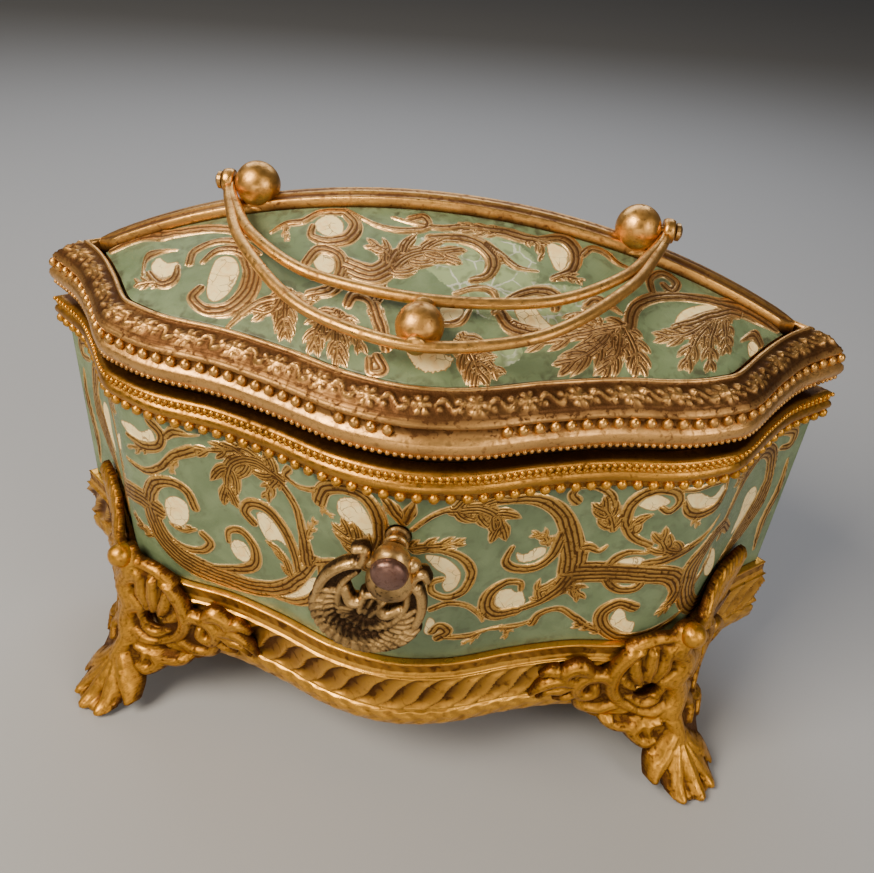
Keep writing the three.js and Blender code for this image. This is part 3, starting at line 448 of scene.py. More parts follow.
domeOrnament = dict(
    strokes=[
        ([(-2, 41), (4, 41.8), (9.6, 40), (13.2, 35.4), (12.8, 30.4), (9.4, 28.8)],
         (1.0, 1.2, 1.4, 1.3, 0.8)),
        ([(11, 40), (15, 36), (19, 32), (24, 30)], (0.9, 0.8, 0.6, 0.3)),
        ([(-12, 45), (-2, 44.6), (6, 45.4), (14, 44), (20, 41), (25, 39)], (0.4, 0.7, 1.0, 1.2, 1.0)),
        ([(24, 40), (29.4, 39.8), (32.6, 35.4), (32, 30), (28, 27.6)], (0.9, 1.2, 1.2, 0.8)),
        ([(34.4, 34.6), (36.6, 36.4), (40, 35), (43, 32), (47, 30.4)], (0.9, 0.7, 0.6, 0.3)),
        ([(15.6, 19.6), (19, 23), (24, 24.4), (28.4, 22.4), (28.8, 19)], (0.9, 1.0, 1.2, 0.9)),
        ([(16.4, 19), (20, 14), (26, 11.6), (31, 10)], (0.9, 1.2, 0.9, 0.5)),
        ([(46, 13), (47.4, 19), (52.6, 22.8), (60, 24), (68, 22.6), (74, 17.6), (80, 9), (85, 2)],
         (1.2, 1.2, 1.0, 1.2, 1.7, 1.4, 0.8)),
        ([(51.6, 24.6), (51.2, 28.4), (54.6, 30.8), (58, 28.4), (56.6, 25.6), (54.6, 27.2)],
         (0.7, 0.8, 0.9, 0.9, 0.7)),
        ([(36, 19.8), (38, 21), (41, 19.4), (44, 17)], (0.8, 0.8, 0.7, 0.4)),
        ([(30, 48), (38, 43), (46, 38.4), (54, 34)], (0.3, 0.5, 0.5, 0.3)),
        ([(57, 14.4), (61, 16), (66, 17.6), (71, 17.8), (75, 14)], (0.8, 1.4, 1.6, 1.0)),
        ([(6, 24.8), (10, 26.4), (14, 25.4), (16, 21)], (0.6, 0.7, 0.7, 0.4)),
        ([(4, 16), (8, 17), (9.6, 20)], (0.6, 0.9, 0.5)),
        ([(74, 6.6), (77.6, 5), (79, 1)], (0.5, 1.0, 0.6)),
        ([(-24, 42.6), (-16, 41), (-9, 41.6), (-3.4, 44), (-4.4, 47.4), (-7.4, 46)],
         (0.3, 0.6, 0.8, 0.8, 0.9)),
        ([(-23.4, 41), (-20.4, 38.4), (-21.6, 34), (-26, 31), (-30.4, 31), (-31, 34)],
         (1.1, 1.4, 1.3, 1.0, 0.7)),
        ([(-41, 29), (-38, 32.6), (-34, 34.6), (-30, 39), (-24, 41.4)], (0.4, 0.8, 0.7, 0.9)),
        ([(-30, 23), (-27.6, 28), (-22.6, 28.2), (-20.6, 23.6), (-22.6, 18), (-27, 15)],
         (0.9, 1.1, 1.4, 1.4, 0.9)),
        ([(-20, 26), (-14, 26), (-10.6, 29), (-9, 34)], (1.9, 2.2, 2.0, 1.2)),
        ([(-17.6, 16), (-16.6, 19), (-12.6, 19), (-9.6, 14), (-7, 8)], (0.9, 1.0, 1.3, 1.0)),
        ([(-44, 0), (-41, 5.4), (-36.4, 10), (-32, 12.4)], (0.4, 0.8, 0.9, 0.6)),
        ([(-55.6, 17), (-53, 21), (-47, 21.6), (-42.6, 17), (-42, 10.4), (-45, 5), (-50.6, 3.6), (-54.6, 6),
          (-53.6, 9)],
         (0.6, 1.0, 1.6, 1.9, 1.6, 1.1, 0.9)),
        ([(-59, 16), (-59, 20), (-55, 23.6), (-49, 24.6), (-42, 22)], (0.9, 0.8, 0.8, 0.5)),
        ([(-85, 2), (-79, 12), (-72, 20.6), (-64, 26), (-56, 28.4), (-48, 27), (-40, 24)],
         (1.0, 1.2, 1.3, 1.2, 0.9, 0.5)),
        ([(-68, 9), (-64, 7.6), (-61, 10), (-61.6, 14)], (0.9, 1.2, 0.6)),
        ([(-70, 8), (-71.6, 12), (-69, 16.4), (-64, 19)], (0.5, 0.8, 0.7, 0.3)),
        ([(-8.4, 5), (-6.6, 2.4), (-9, 1), (-10, 4)], (0.9, 0.9, 0.7)),
    ],
    leaves=[
        ([(-10, 28), (-7, 33), (-2, 36.6), (5, 36)], 4.6, 6, (1, -1)),
        ([(-9, 31), (-12, 34), (-16, 34.6)], 2.6, 4, (1, -1)),
        ([(14, 44), (9, 44.6), (4, 46)], 2.2, 5, (1, -1)),
        ([(20, 41), (24, 38), (25, 33)], 1.8, 4, (-1,)),
        ([(28, 27.6), (31, 28), (35, 26)], 1.5, 4, (1, -1)),
        ([(46, 14), (38, 12), (30, 10.4), (22, 9)], 3.0, 6, (1, -1)),
        ([(42, 12), (38, 7), (31, 3)], 3.6, 5, (1, -1)),
        ([(44, 12), (43.4, 6), (40, 0.6)], 3.0, 5, (1, -1)),
        ([(45, 13), (47.4, 7), (48.6, 1)], 3.0, 5, (1, -1)),
        ([(66, 16.6), (60, 12.6), (52, 11)], 2.8, 5, (1, -1)),
        ([(67, 17), (61.4, 10), (58.6, 2)], 2.8, 5, (1, -1)),
        ([(68, 17), (65.4, 10), (64.6, 1)], 2.4, 5, (1, -1)),
        ([(70, 17), (69.4, 11), (69, 6)], 2.4, 5, (1, -1)),
        ([(9, 13), (12, 7), (14, 1)], 3.4, 5, (1, -1)),
        ([(8, 12), (15, 6), (18.6, 1.6)], 2.2, 4, (1, -1)),
        ([(17, 18), (21, 15), (27, 13)], 1.6, 5, (-1,)),
        ([(-20, 13), (-23, 7), (-22.6, 1)], 2.8, 5, (1, -1)),
        ([(-19, 13), (-18, 6), (-16, 0.6)], 2.8, 5, (1, -1)),
        ([(-18, 13), (-13.6, 9), (-12, 5)], 2.2, 4, (1, -1)),
        ([(-33, 14), (-34.6, 8), (-39, 5)], 2.6, 4, (1, -1)),
        ([(-32, 14), (-31.4, 8), (-30, 2)], 2.8, 5, (1, -1)),
        ([(-31, 14), (-27, 12), (-25, 16)], 1.8, 3, (1, -1)),
        ([(-10, 14), (-11.6, 20), (-9, 24)], 2.0, 4, (1, -1)),
        ([(-64, 8), (-68, 6), (-71, 4)], 1.8, 4, (1, -1)),
        ([(-38, 32.6), (-37, 29), (-36, 27.6)], 1.2, 3, (1, -1)),
        ([(-44, 44), (-52, 38), (-60, 32)], 1.2, 5, (1, -1)),
        ([(40, 13), (34, 17), (31, 15)], 1.8, 4, (1, -1)),
        ([(76, 12), (79, 10), (83, 4)], 1.2, 4, (1, -1)),
    ],
    cells=[
        ([(25.4, 38.6), (28.6, 38), (31, 35), (30.6, 30.6), (28.4, 29.6), (26.6, 33)], 0.3),
        ([(19.4, 20.4), (23.4, 21.6), (25.6, 17.6), (29.6, 12.6), (25, 12.4), (21, 15.6)], 0.4),
        ([(3, 20.6), (8, 20.6), (8, 18.4), (5, 16.8)], 0.0),
        ([(57, 15.6), (59, 19.6), (64, 21.6), (70, 21), (73, 18), (66, 18.6), (61, 16.6)], 0.0),
        ([(75.4, 4), (77.6, 3.4), (78, 0.2), (75.2, 0.4)], 0.0),
        ([(-3, 9), (3, 9.6), (8, 7.6), (7, 4), (2, 3), (-1.6, 5.6)], 0.8),
        ([(-31, 35.6), (-28, 39.4), (-24, 38.6), (-23, 35), (-26, 32.4), (-29.6, 33)], 0.3),
        ([(-28.6, 24.6), (-26.6, 27), (-23.4, 26.6), (-23, 23), (-26, 21.6)], 0.0),
        ([(-52.6, 18), (-48.6, 19.6), (-45.6, 15.6), (-46.4, 9), (-49.4, 6), (-52, 9)], 0.0),
        ([(-69, 11), (-68.4, 15), (-65, 14.4), (-62, 15.6), (-61.8, 11.4), (-65, 9)], 0.3),
        ([(-24, 18.6), (-22, 20.6), (-23.6, 15.6), (-26.6, 16.4)], 0.0),
    ],
    patches=[
        [(-8, 38), (0, 30), (12, 22), (24, 27), (20, 38), (8, 44)],
        [(14, 27), (28, 26), (40, 22), (34, 14), (18, 16), (8, 22)],
        [(10, 10), (20, 12), (22, 6), (12, 3)],
    ],
)


def smoothStep(u):
    # u^2 (3 - 2u), held to 0 and 1 at the ends.
    u = np.clip(u, 0, 1)
    return u * u * (3 - 2 * u)


def relief(fields, rise):
    # Height of the sheet: gold rises as u^2 (3 - 2u) over a slope about half a millimetre wide.
    slope = 0.45
    return rise * smoothStep(fields["gold"] / slope)


def cutSheet(points, faces, keep):
    # Trims a sheet to where keep is positive: corners up to reach steps outside slide onto the edge
    # by -keep / slope^2 along the slope of keep, and faces left outside are dropped.
    reach = 1.2
    along, across = np.gradient(keep)
    size = np.hypot(along, across) + 1e-6
    shift = np.where((keep < 0) & (keep > -reach * size), -keep / size**2, 0)
    moved = points.copy()
    for delta, axis in ((shift * along, 0), (shift * across, 1)):
        slope = np.gradient(points, axis=axis)
        moved += slope * np.clip(delta, -1, 1)[..., None]
    inside = (keep > -reach * size).ravel()
    return moved, faces[inside[faces].all(1)]


def closedSheet(front, back, faces):
    # Front and back of one sheet made into a closed shell: each edge that only one face uses gets
    # a wall. Corners that no face uses are dropped.
    front, back = front.reshape(-1, 3), back.reshape(-1, 3)
    used = np.unique(faces)
    renumber = np.zeros(len(front), int)
    renumber[used] = np.arange(len(used))
    faces = renumber[faces]
    edges = np.concatenate([faces[:, [k, (k + 1) % 4]] for k in range(4)])
    _, first, counts = np.unique(np.sort(edges, 1), axis=0, return_index=True, return_counts=True)
    rim = edges[first[counts == 1]]
    n = len(used)
    walls = np.stack([rim[:, 1], rim[:, 0], rim[:, 0] + n, rim[:, 1] + n], 1)
    return np.vstack([front[used], back[used]]), np.vstack([faces, faces[:, ::-1] + n, walls]), used


# Finishes: small node helpers, two shared groups, then one function per kind of surface.

def setInput(tree, socket, value):
    # Links a socket, or gives it a value.
    if isinstance(value, bpy.types.NodeSocket):
        tree.links.new(value, socket)
    else:
        socket.default_value = value


def addNode(tree, kind, values=None, **settings):
    # Shader node with its settings made and its inputs filled.
    made = tree.nodes.new(kind)
    for name, value in settings.items():
        setattr(made, name, value)
    for key, value in (values or {}).items():
        setInput(tree, made.inputs[key], value)
    return made


def maths(tree, operation, a, b=0.0, clamp=False):
    # One step of arithmetic on a and b, held between 0 and 1 if clamp is set.
    made = addNode(tree, "ShaderNodeMath", {0: a, 1: b}, operation=operation, use_clamp=clamp)
    return made.outputs[0]


def fade(tree, value, low, high, start=0.0, end=1.0):
    # Smooth step of a value: start up to low, end from high on, u^2 (3 - 2u) between.
    values = {"Value": value, "From Min": low, "From Max": high, "To Min": start, "To Max": end}
    return addNode(tree, "ShaderNodeMapRange", values, interpolation_type="SMOOTHSTEP").outputs[0]


def band(tree, value, low, high, soft):
    # 1 between low and high and 0 outside: a rising step times a falling one, each 2 x soft wide.
    rise = fade(tree, value, low - soft, low + soft)
    return maths(tree, "MULTIPLY", rise, fade(tree, value, high - soft, high + soft, 1.0, 0.0))


def mixed(tree, factor, a, b):
    # Colour a (1 - factor) + b factor. Plain colours are given as three numbers.
    made = addNode(tree, "ShaderNodeMix", data_type="RGBA")
    for index, value in ((0, factor), (6, a), (7, b)):      # the node's sockets for its colours
        setInput(tree, made.inputs[index], (*value, 1) if isinstance(value, tuple) else value)
    return made.outputs[2]


def noise(tree, vector, size, detail=3.0, distortion=0.0):
    # Noise whose patches are about that many millimetres across.
    values = {"Vector": vector, "Scale": 1 / size, "Detail": detail, "Distortion": distortion}
    return addNode(tree, "ShaderNodeTexNoise", values).outputs["Fac"]


def inMillimetres(tree):
    # Place on the piece: its own coordinates times 1000.
    place = addNode(tree, "ShaderNodeTexCoord").outputs["Object"]
    return addNode(tree, "ShaderNodeMapping", {"Vector": place, "Scale": (1000, 1000, 1000)}).outputs[0]


def attribute(tree, name):
    # Number stored on the mesh under that name.
    return addNode(tree, "ShaderNodeAttribute", attribute_name=name).outputs["Fac"]


def newGroup(name, inputs, outputs):
    # Empty node group; gives back its tree, what comes in and what goes out.
    tree = bpy.data.node_groups.new(name, "ShaderNodeTree")
    for label, kind, value in inputs:
        made = tree.interface.new_socket(label, in_out="INPUT", socket_type=kind)
        if value is not None:
            made.default_value = value
    for label, kind in outputs:
        tree.interface.new_socket(label, in_out="OUTPUT", socket_type=kind)
    return tree, tree.nodes.new("NodeGroupInput").outputs, tree.nodes.new("NodeGroupOutput").inputs


def useGroup(tree, group, values):
    # A shared group placed in a tree with its inputs filled; gives back its outputs.
    return addNode(tree, "ShaderNodeGroup", values, node_tree=group).outputs


def agedGilding():
    # Old gilding: bright where nothing darkens it, brown where the Hollow input paints shade into the
    # hollows and in cloudy patches, with small dark spots and a fine grain.
    tree, given, out = newGroup("agedGilding", [
        ("Place", "NodeSocketVector", None), ("Bright", "NodeSocketColor", (0.8, 0.5, 0.15, 1)),
        ("Deep", "NodeSocketColor", (0.12, 0.05, 0.015, 1)), ("Hollow", "NodeSocketFloat", 0.0),
        ("Cloud", "NodeSocketFloat", 0.5), ("Size", "NodeSocketFloat", 1.0)],
        [("Colour", "NodeSocketColor"), ("Roughness", "NodeSocketFloat"), ("Grain", "NodeSocketFloat")])
    scaled = addNode(tree, "ShaderNodeVectorMath", {0: given["Place"], "Scale": given["Size"]},
                     operation="SCALE").outputs[0]
    broad = noise(tree, scaled, 14, 4, 0.6)
    spots = noise(tree, scaled, 1.6, 5, 0.4)
    grain = noise(tree, scaled, 0.35, 3)
    cloud = maths(tree, "MULTIPLY", fade(tree, broad, 0.42, 0.72), given["Cloud"])
    dirt = maths(tree, "ADD", maths(tree, "MULTIPLY", fade(tree, spots, 0.5, 0.75), 0.55), cloud)
    # painted shade from the Hollow input, added to the real spots and cloudy patches
    dark = maths(tree, "ADD", given["Hollow"], dirt, clamp=True)
    colour = mixed(tree, dark, given["Bright"], given["Deep"])
    colour = mixed(tree, fade(tree, grain, 0.3, 0.75, 0.0, 0.22), colour, (0.3, 0.15, 0.05))
    tree.links.new(colour, out["Colour"])
    rough = maths(tree, "ADD", fade(tree, spots, 0.3, 0.8, 0.26, 0.5), maths(tree, "MULTIPLY", dark, 0.22))
    tree.links.new(rough, out["Roughness"])
    tree.links.new(maths(tree, "ADD", spots, maths(tree, "MULTIPLY", grain, 0.35)), out["Grain"])
    return tree


def hairCracks():
    # Thin branching cracks: the borders of warped cells, broken up by a slower noise.
    tree, given, out = newGroup("hairCracks", [
        ("Place", "NodeSocketVector", None), ("Size", "NodeSocketFloat", 4.0),
        ("Width", "NodeSocketFloat", 0.03)], [("Mask", "NodeSocketFloat")])
    place = given["Place"]
    warp = addNode(tree, "ShaderNodeTexNoise", {"Vector": place, "Scale": 0.5, "Detail": 3.0})
    shifted = addNode(tree, "ShaderNodeVectorMath", {0: place, 1: warp.outputs["Color"]}, operation="ADD")
    shrink = maths(tree, "DIVIDE", 1.0, given["Size"])
    cells = addNode(tree, "ShaderNodeTexVoronoi", {"Vector": shifted.outputs[0], "Scale": shrink},
                    feature="DISTANCE_TO_EDGE").outputs[0]
    line = maths(tree, "LESS_THAN", cells, given["Width"])
    gaps = fade(tree, noise(tree, place, 5, 2), 0.4, 0.55)
    tree.links.new(maths(tree, "MULTIPLY", line, gaps), out["Mask"])
    return tree


gildingGroup, crackGroup = agedGilding(), hairCracks()


def newMaterial(name):
    # New material, its node tree and its main shader.
    made = bpy.data.materials.new(name)
    made.use_nodes = True
    return made, made.node_tree, made.node_tree.nodes["Principled BSDF"]


def connect(tree, shader, colour, roughness, metallic, height, strength, depth=0.0002):
    # Fills the shader; height becomes a bump of that strength, depth metres deep.
    bump = addNode(tree, "ShaderNodeBump", {"Height": height, "Strength": strength, "Distance": depth})
    for key, value in (("Base Color", colour), ("Roughness", roughness), ("Metallic", metallic),
                       ("Normal", bump.outputs[0])):
        setInput(tree, shader.inputs[key], value)


def gilded(name, bright, deep, cloud=0.5, size=1.0, hollow=True):
    # Metal finish; the piece's own hollow attribute, 0 on high spots and 1 deep, darkens it: mostly painted
    # shade in its hollows.
    material, tree, shader = newMaterial(name)
    values = {"Place": inMillimetres(tree), "Bright": (*bright, 1), "Deep": (*deep, 1),
              "Cloud": cloud, "Size": size}
    if hollow:
        values["Hollow"] = attribute(tree, "hollow")
    made = useGroup(tree, gildingGroup, values)
    connect(tree, shader, made["Colour"], made["Roughness"], 0.92, made["Grain"], 0.35)
    return material


enamelLook = dict(
    green=(0.120, 0.170, 0.085), greenPale=(0.170, 0.230, 0.120), greenPatch=(0.280, 0.360, 0.180),
    crazing=(0.62, 0.64, 0.55), dirt=(0.055, 0.06, 0.03),
    ivory=(1.0, 0.82, 0.40), ivoryShade=(0.95, 0.68, 0.28), crack=(0.22, 0.11, 0.04),
    ivoryBorder=(0.36, 0.20, 0.06),
    # outline is a painted highlight colour for the raised border of every gold figure
    goldBright=(0.88, 0.51, 0.12), goldDeep=(0.10, 0.042, 0.010), outline=(0.88, 0.62, 0.28),
)


def enamelled(name, look, bright, deep, grime=0.65):
    # Painted and chased sheet: the gold, ivory and pale attributes are distances inside each
    # figure, so crisp borders come from comparing them with zero.
    material, tree, shader = newMaterial(name)
    place = inMillimetres(tree)
    gold, ivory, pale, flute, edge = (attribute(tree, k) for k in ("gold", "ivory", "pale", "flute", "edge"))
    goldMask = fade(tree, gold, -0.03, 0.05)
    mottled = noise(tree, place, 9, 4, 0.5)
    fine = noise(tree, place, 0.8, 4)
    ground = mixed(tree, fade(tree, mottled, 0.35, 0.7), look["green"], look["greenPale"])
    patch = fade(tree, maths(tree, "ADD", pale, maths(tree, "MULTIPLY", fine, 1.4)), 0.4, 0.9)
    ground = mixed(tree, patch, ground, look["greenPatch"])
    # crazing in the pale patches
    crazing = useGroup(tree, crackGroup, {"Place": place, "Size": 5.0, "Width": 0.035})["Mask"]
    crazed = maths(tree, "MULTIPLY", crazing, maths(tree, "MULTIPLY", patch, 0.7))
    ground = mixed(tree, crazed, ground, look["crazing"])
    # dirt gathers beside the gold and along the sheet's edge
    near = maths(tree, "MULTIPLY", band(tree, gold, -1.7, -0.2, 0.35), 0.5)
    close = maths(tree, "ADD", fade(tree, edge, 0.4, 3.2, 1.0, 0.0), 0.05)
    spread = fade(tree, noise(tree, place, 3.2, 5, 0.8), 0.42, 0.68)
    dirt = maths(tree, "MULTIPLY", spread, maths(tree, "ADD", near, close, clamp=True))
    ground = mixed(tree, maths(tree, "MULTIPLY", dirt, grime), ground, look["dirt"])
    # ivory cells, cracked and darker at their border
    yellowed = fade(tree, noise(tree, place, 2.4, 4, 1.0), 0.38, 0.72)
    ivoryTone = mixed(tree, yellowed, look["ivory"], look["ivoryShade"])
    cracks = useGroup(tree, crackGroup, {"Place": place, "Size": 3.2, "Width": 0.02})["Mask"]
    ivoryTone = mixed(tree, maths(tree, "MULTIPLY", cracks, 0.75), ivoryTone, look["crack"])
    ivoryTone = mixed(tree, band(tree, ivory, -0.2, 0.22, 0.08), ivoryTone, look["ivoryBorder"])
    ground = mixed(tree, fade(tree, ivory, -0.04, 0.04), ground, ivoryTone)
    # engraved lines: a cosine across each stroke, its phase wandering with the mottling
    wander = maths(tree, "MULTIPLY", maths(tree, "SUBTRACT", mottled, 0.5), 1.6)
    wave = maths(tree, "COSINE", maths(tree, "MULTIPLY", maths(tree, "ADD", flute, wander), 2 * math.pi))
    # painted shade and highlight on the engraving: the troughs of the wave are darkened and its crests left
    # bright
    groove = maths(tree, "MULTIPLY", fade(tree, wave, -1.0, 0.2, 0.72, 0.0), fade(tree, gold, 0.22, 0.42))
    # painted highlight: a thin band at the border of each gold figure is lightened towards the outline colour,
    # as a raised edge catching the light
    rimHighlight = band(tree, gold, -0.02, 0.24, 0.05)
    body = maths(tree, "MULTIPLY", fade(tree, gold, 0.2, 1.6), 0.42)
    hollow = maths(tree, "ADD", groove, body, clamp=True)
    made = useGroup(tree, gildingGroup, {"Place": place, "Bright": (*bright, 1), "Deep": (*deep, 1),
                                         "Hollow": hollow, "Cloud": 0.35, "Size": 1.4})
    metal = mixed(tree, maths(tree, "MULTIPLY", rimHighlight, 0.85), made["Colour"], look["outline"])
    colour = mixed(tree, goldMask, ground, metal)
    goldRough = maths(tree, "MULTIPLY", goldMask, made["Roughness"])
    groundRough = maths(tree, "MULTIPLY", maths(tree, "SUBTRACT", 1.0, goldMask),
                        fade(tree, fine, 0.3, 0.7, 0.36, 0.55))
    rough = maths(tree, "ADD", goldRough, groundRough)
    # bump: half the engraved wave plus a quarter of the fine noise, less a fifth of the crazing
    waves = maths(tree, "MULTIPLY", maths(tree, "MULTIPLY", wave, goldMask), 0.5)
    height = maths(tree, "ADD", waves, maths(tree, "MULTIPLY", fine, 0.25))
    height = maths(tree, "SUBTRACT", height, maths(tree, "MULTIPLY", crazing, 0.2))
    connect(tree, shader, colour, rough, maths(tree, "MULTIPLY", goldMask, 0.9), height, 0.55, 0.00028)
    return material


def quilted(name, light, shade):
    # Silk: a fine weave, sin(k (x + z)) sin(k (y + z)), soft blotches, painted shade in the dimples and
    # creases, and a little sheen.
    threads = 15.0
    material, tree, shader = newMaterial(name)
    place = inMillimetres(tree)
    parts = addNode(tree, "ShaderNodeSeparateXYZ", {0: place}).outputs
    warp, weft = (maths(tree, "SINE", maths(tree, "MULTIPLY", maths(tree, "ADD", part, parts[2]), threads))
                  for part in parts[:2])
    weave = maths(tree, "MULTIPLY", warp, weft)
    tone = mixed(tree, fade(tree, noise(tree, place, 18, 4), 0.35, 0.7), light, shade)
    tone = mixed(tree, fade(tree, weave, -1, 1, 0, 0.18), tone, (0.9, 0.82, 0.62))
    hollow = attribute(tree, "hollow")
    # painted shade: where the hollow attribute marks dimples and creases the silk is mixed towards a dark copy
    # of the shade colour
    tone = mixed(tree, maths(tree, "MULTIPLY", hollow, 0.5), tone, tuple(c * 0.35 for c in shade))
    shader.inputs["Sheen Weight"].default_value = 0.4
    connect(tree, shader, tone, fade(tree, weave, -1, 1, 0.42, 0.6), 0.0, weave, 0.2, 0.0001)
    return material


print("finishes")
wallEnamel = enamelled("wallEnamel", enamelLook, enamelLook["goldBright"], enamelLook["goldDeep"])
domeEnamel = enamelled("domeEnamel", enamelLook, (0.84, 0.50, 0.18), (0.13, 0.058, 0.020), 0.9)
giltBrass = gilded("giltBrass", (0.74, 0.36, 0.04), (0.085, 0.028, 0.004), 0.3)
# painted shade: a darker copy of the gilt for the body rim, while the beads on it keep the brighter giltBrass
rimShadedGilt = gilded("rimShadedGilt", (0.50, 0.24, 0.035), (0.07, 0.024, 0.004), 0.35)
plinthGilt = gilded("plinthGilt", (0.80, 0.41, 0.06), (0.11, 0.040, 0.007), 0.12, 0.6)
shankBrass = gilded("shankBrass", (0.26, 0.14, 0.05), (0.05, 0.022, 0.010), 0.6, 1.4, False)
wornGilt = gilded("wornGilt", (0.72, 0.38, 0.10), (0.13, 0.050, 0.014), 0.5)
ornateGilt = gilded("ornateGilt", (0.80, 0.44, 0.14), (0.085, 0.034, 0.011), 0.3, 1.3)
keyBrass = gilded("keyBrass", (0.66, 0.42, 0.16), (0.018, 0.010, 0.006), 0.75, 1.4)
capBrass = gilded("capBrass", (0.24, 0.14, 0.12), (0.08, 0.035, 0.03), 0.6, 1.6)
plainGilt = gilded("plainGilt", (0.52, 0.30, 0.10), (0.13, 0.055, 0.02), 0.6, 1.0, False)
# near-black gilding as painted shade: for the inner lip in the gap, the walls behind the sheets and the lock
# curtain in the keyhole
shadeDark = gilded("shadeDark", (0.10, 0.05, 0.022), (0.022, 0.010, 0.006), 0.8, 1.0, False)
hingeBrass = gilded("hingeBrass", (0.45, 0.28, 0.12), (0.10, 0.05, 0.02), 0.6, 1.2, False)
lockSteel = gilded("lockSteel", (0.34, 0.33, 0.32), (0.09, 0.07, 0.06), 0.6, 1.5, False)
silk = quilted("silk", (0.62, 0.50, 0.33), (0.44, 0.33, 0.20))


# Walls and dome: enamelled sheets that carry the ornament as relief and as stored distances.

wall = dict(step=0.52, length=244, clip=0.04, back=-0.92, face=-0.42, low=45.15, high=97.15, rise=0.32,
            holeRadius=3.1, slotHalf=1.65, slotLow=79.1, keyZ=86)
dome = dict(step=0.52, width=172, depth=56, rimOffset=-7.5, rimPoints=1200, clip=4.6, edgeZ=121.6, ridgeY=3.8,
            narrow=0.02, swell=4, reach=57, rise=0.3, face=0.16, back=0.05)
ridge = dict(top=145.4, radius=192, half=3.5, end=90.2, taper=0.62, drop=3.2)


def ridgeZ(x):
    # Height of the ridge: an arc, top - radius + sqrt(radius^2 - x^2).
    return ridge["top"] - ridge["radius"] + np.sqrt(ridge["radius"]**2 - x * x)


def sheetLayers(fields, used, edge):
    # The same values for the front and the back of a closed sheet.
    layers = {**fields, "edge": edge}
    return {k: np.tile(np.ravel(v)[used], 2) for k, v in layers.items() if k not in ("s", "h")}


def ornamented(s, h, ornament):
    # Whole drawing on one sheet: strokes, then leaves, then the ivory cells and the pale patches.
    boldStrokes, wideLeaves, fewerLobes = 1.5, 1.4, 0.72
    fields = newFields(s, h)
    for points, widths in ornament["strokes"]:
        layStroke(fields, points, widths, bold=boldStrokes)
    for spine, reach, lobes, sides in ornament["leaves"]:
        layLeaf(fields, spine, reach * wideLeaves, max(3, round(lobes * fewerLobes)), sides)
    for outline, rag in ornament["cells"]:
        layCell(fields, outline, rag)
    for outline in ornament.get("patches", ()):
        layCell(fields, outline, 0.4, "pale")
    return fields


def wallSkin(name, side):
    # Sheet over one half of the wall: a point is the plan line moved out by the relief there. The
    # front one has a keyhole: a round hole and a slot below it.
    b = wall
    columns = int(b["length"] / b["step"])
    line = halfLine(b["face"], columns, b["clip"])
    step = np.linalg.norm(np.diff(line, axis=0), axis=1).mean()
    s, h = sheetGrid((np.arange(columns) - (columns - 1) / 2) * step,
                     np.arange(b["low"], b["high"], b["step"]))
    fields = ornamented(s, h, wallOrnament)
    edge = np.minimum(h - b["low"], b["high"] - h)
    rise = relief(fields, b["rise"])
    along = np.gradient(line, axis=0)
    along /= np.linalg.norm(along, axis=1)[:, None]
    out = np.stack([-along[:, 1], along[:, 0]], 1)
    flat = line[:, None] + 0 * rise[..., None]
    front = np.dstack([flat + out[:, None] * rise[..., None], h]) * [1, side, 1]
    back = np.dstack([flat + out[:, None] * (b["back"] - b["face"]), h]) * [1, side, 1]
    faces = gridFaces(*s.shape)
    if side < 0:
        hole = np.hypot(s, h - b["keyZ"]) - b["holeRadius"]
        slot = np.maximum(np.abs(s) - b["slotHalf"], np.maximum(h - b["keyZ"], b["slotLow"] - h))
        keep = np.minimum(hole, slot)
        back, _ = cutSheet(back, faces, keep)
        front, faces = cutSheet(front, faces, keep)
    points, faces, used = closedSheet(front, back, faces)
    mesh = makeMesh(name, points, faces, sheetLayers(fields, used, edge))
    return addPiece(name, mesh, "casket", wallEnamel)


def domePoints(x, up, base):
    # Dome section: straight from the rim (up = 0) to the ridge (up = 1), swelled between the two by
    # swell x up (1 - up), the more the further the rim is from the middle.
    b = dome
    xx = x * (1 - b["narrow"] * up)
    y = base + (b["ridgeY"] - base) * up
    climb = np.maximum(ridgeZ(xx) - ridge["drop"], b["edgeZ"]) - b["edgeZ"]
    z = b["edgeZ"] + climb * up + b["swell"] * up * (1 - up) * base / b["reach"]
    return np.dstack([xx, y, z])


def domeSkin(name, side):
    # Sheet over one half of the dome: a point is moved out along the surface's normal by the relief.
    b = dome
    rim = halfLine(b["rimOffset"], b["rimPoints"], b["clip"])
    x1 = np.linspace(rim[0, 0], rim[-1, 0], int(b["width"] / b["step"]))
    base = np.interp(x1, rim[:, 0], rim[:, 1])[:, None]
    up = np.linspace(0, 1, int(b["depth"] / b["step"]))[None]
    flat = domePoints(x1[:, None], up, base)
    length = np.linalg.norm(np.diff(flat, axis=1), axis=2)
    t = np.concatenate([np.zeros((len(x1), 1)), np.cumsum(length, 1)], 1)
    fields = ornamented(np.repeat(x1[:, None], up.shape[1], 1), t, domeOrnament)
    rise = relief(fields, b["rise"])
    edge = np.minimum(t, t[:, -1:] - t)
    normal = np.cross(np.gradient(flat, axis=0), np.gradient(flat, axis=1))
    normal /= np.linalg.norm(normal, axis=2)[..., None] + 1e-9
    normal *= np.sign(normal[..., 2:] + 1e-9)
    front = (flat + normal * (b["face"] + rise)[..., None]) * [1, side, 1]
    back = (flat - normal * b["back"]) * [1, side, 1]
    points, faces, used = closedSheet(front, back, gridFaces(*t.shape))
    mesh = makeMesh(name, points, faces, sheetLayers(fields, used, edge), centre=(0, 0, 60))
    return addPiece(name, mesh, "lid", domeEnamel)


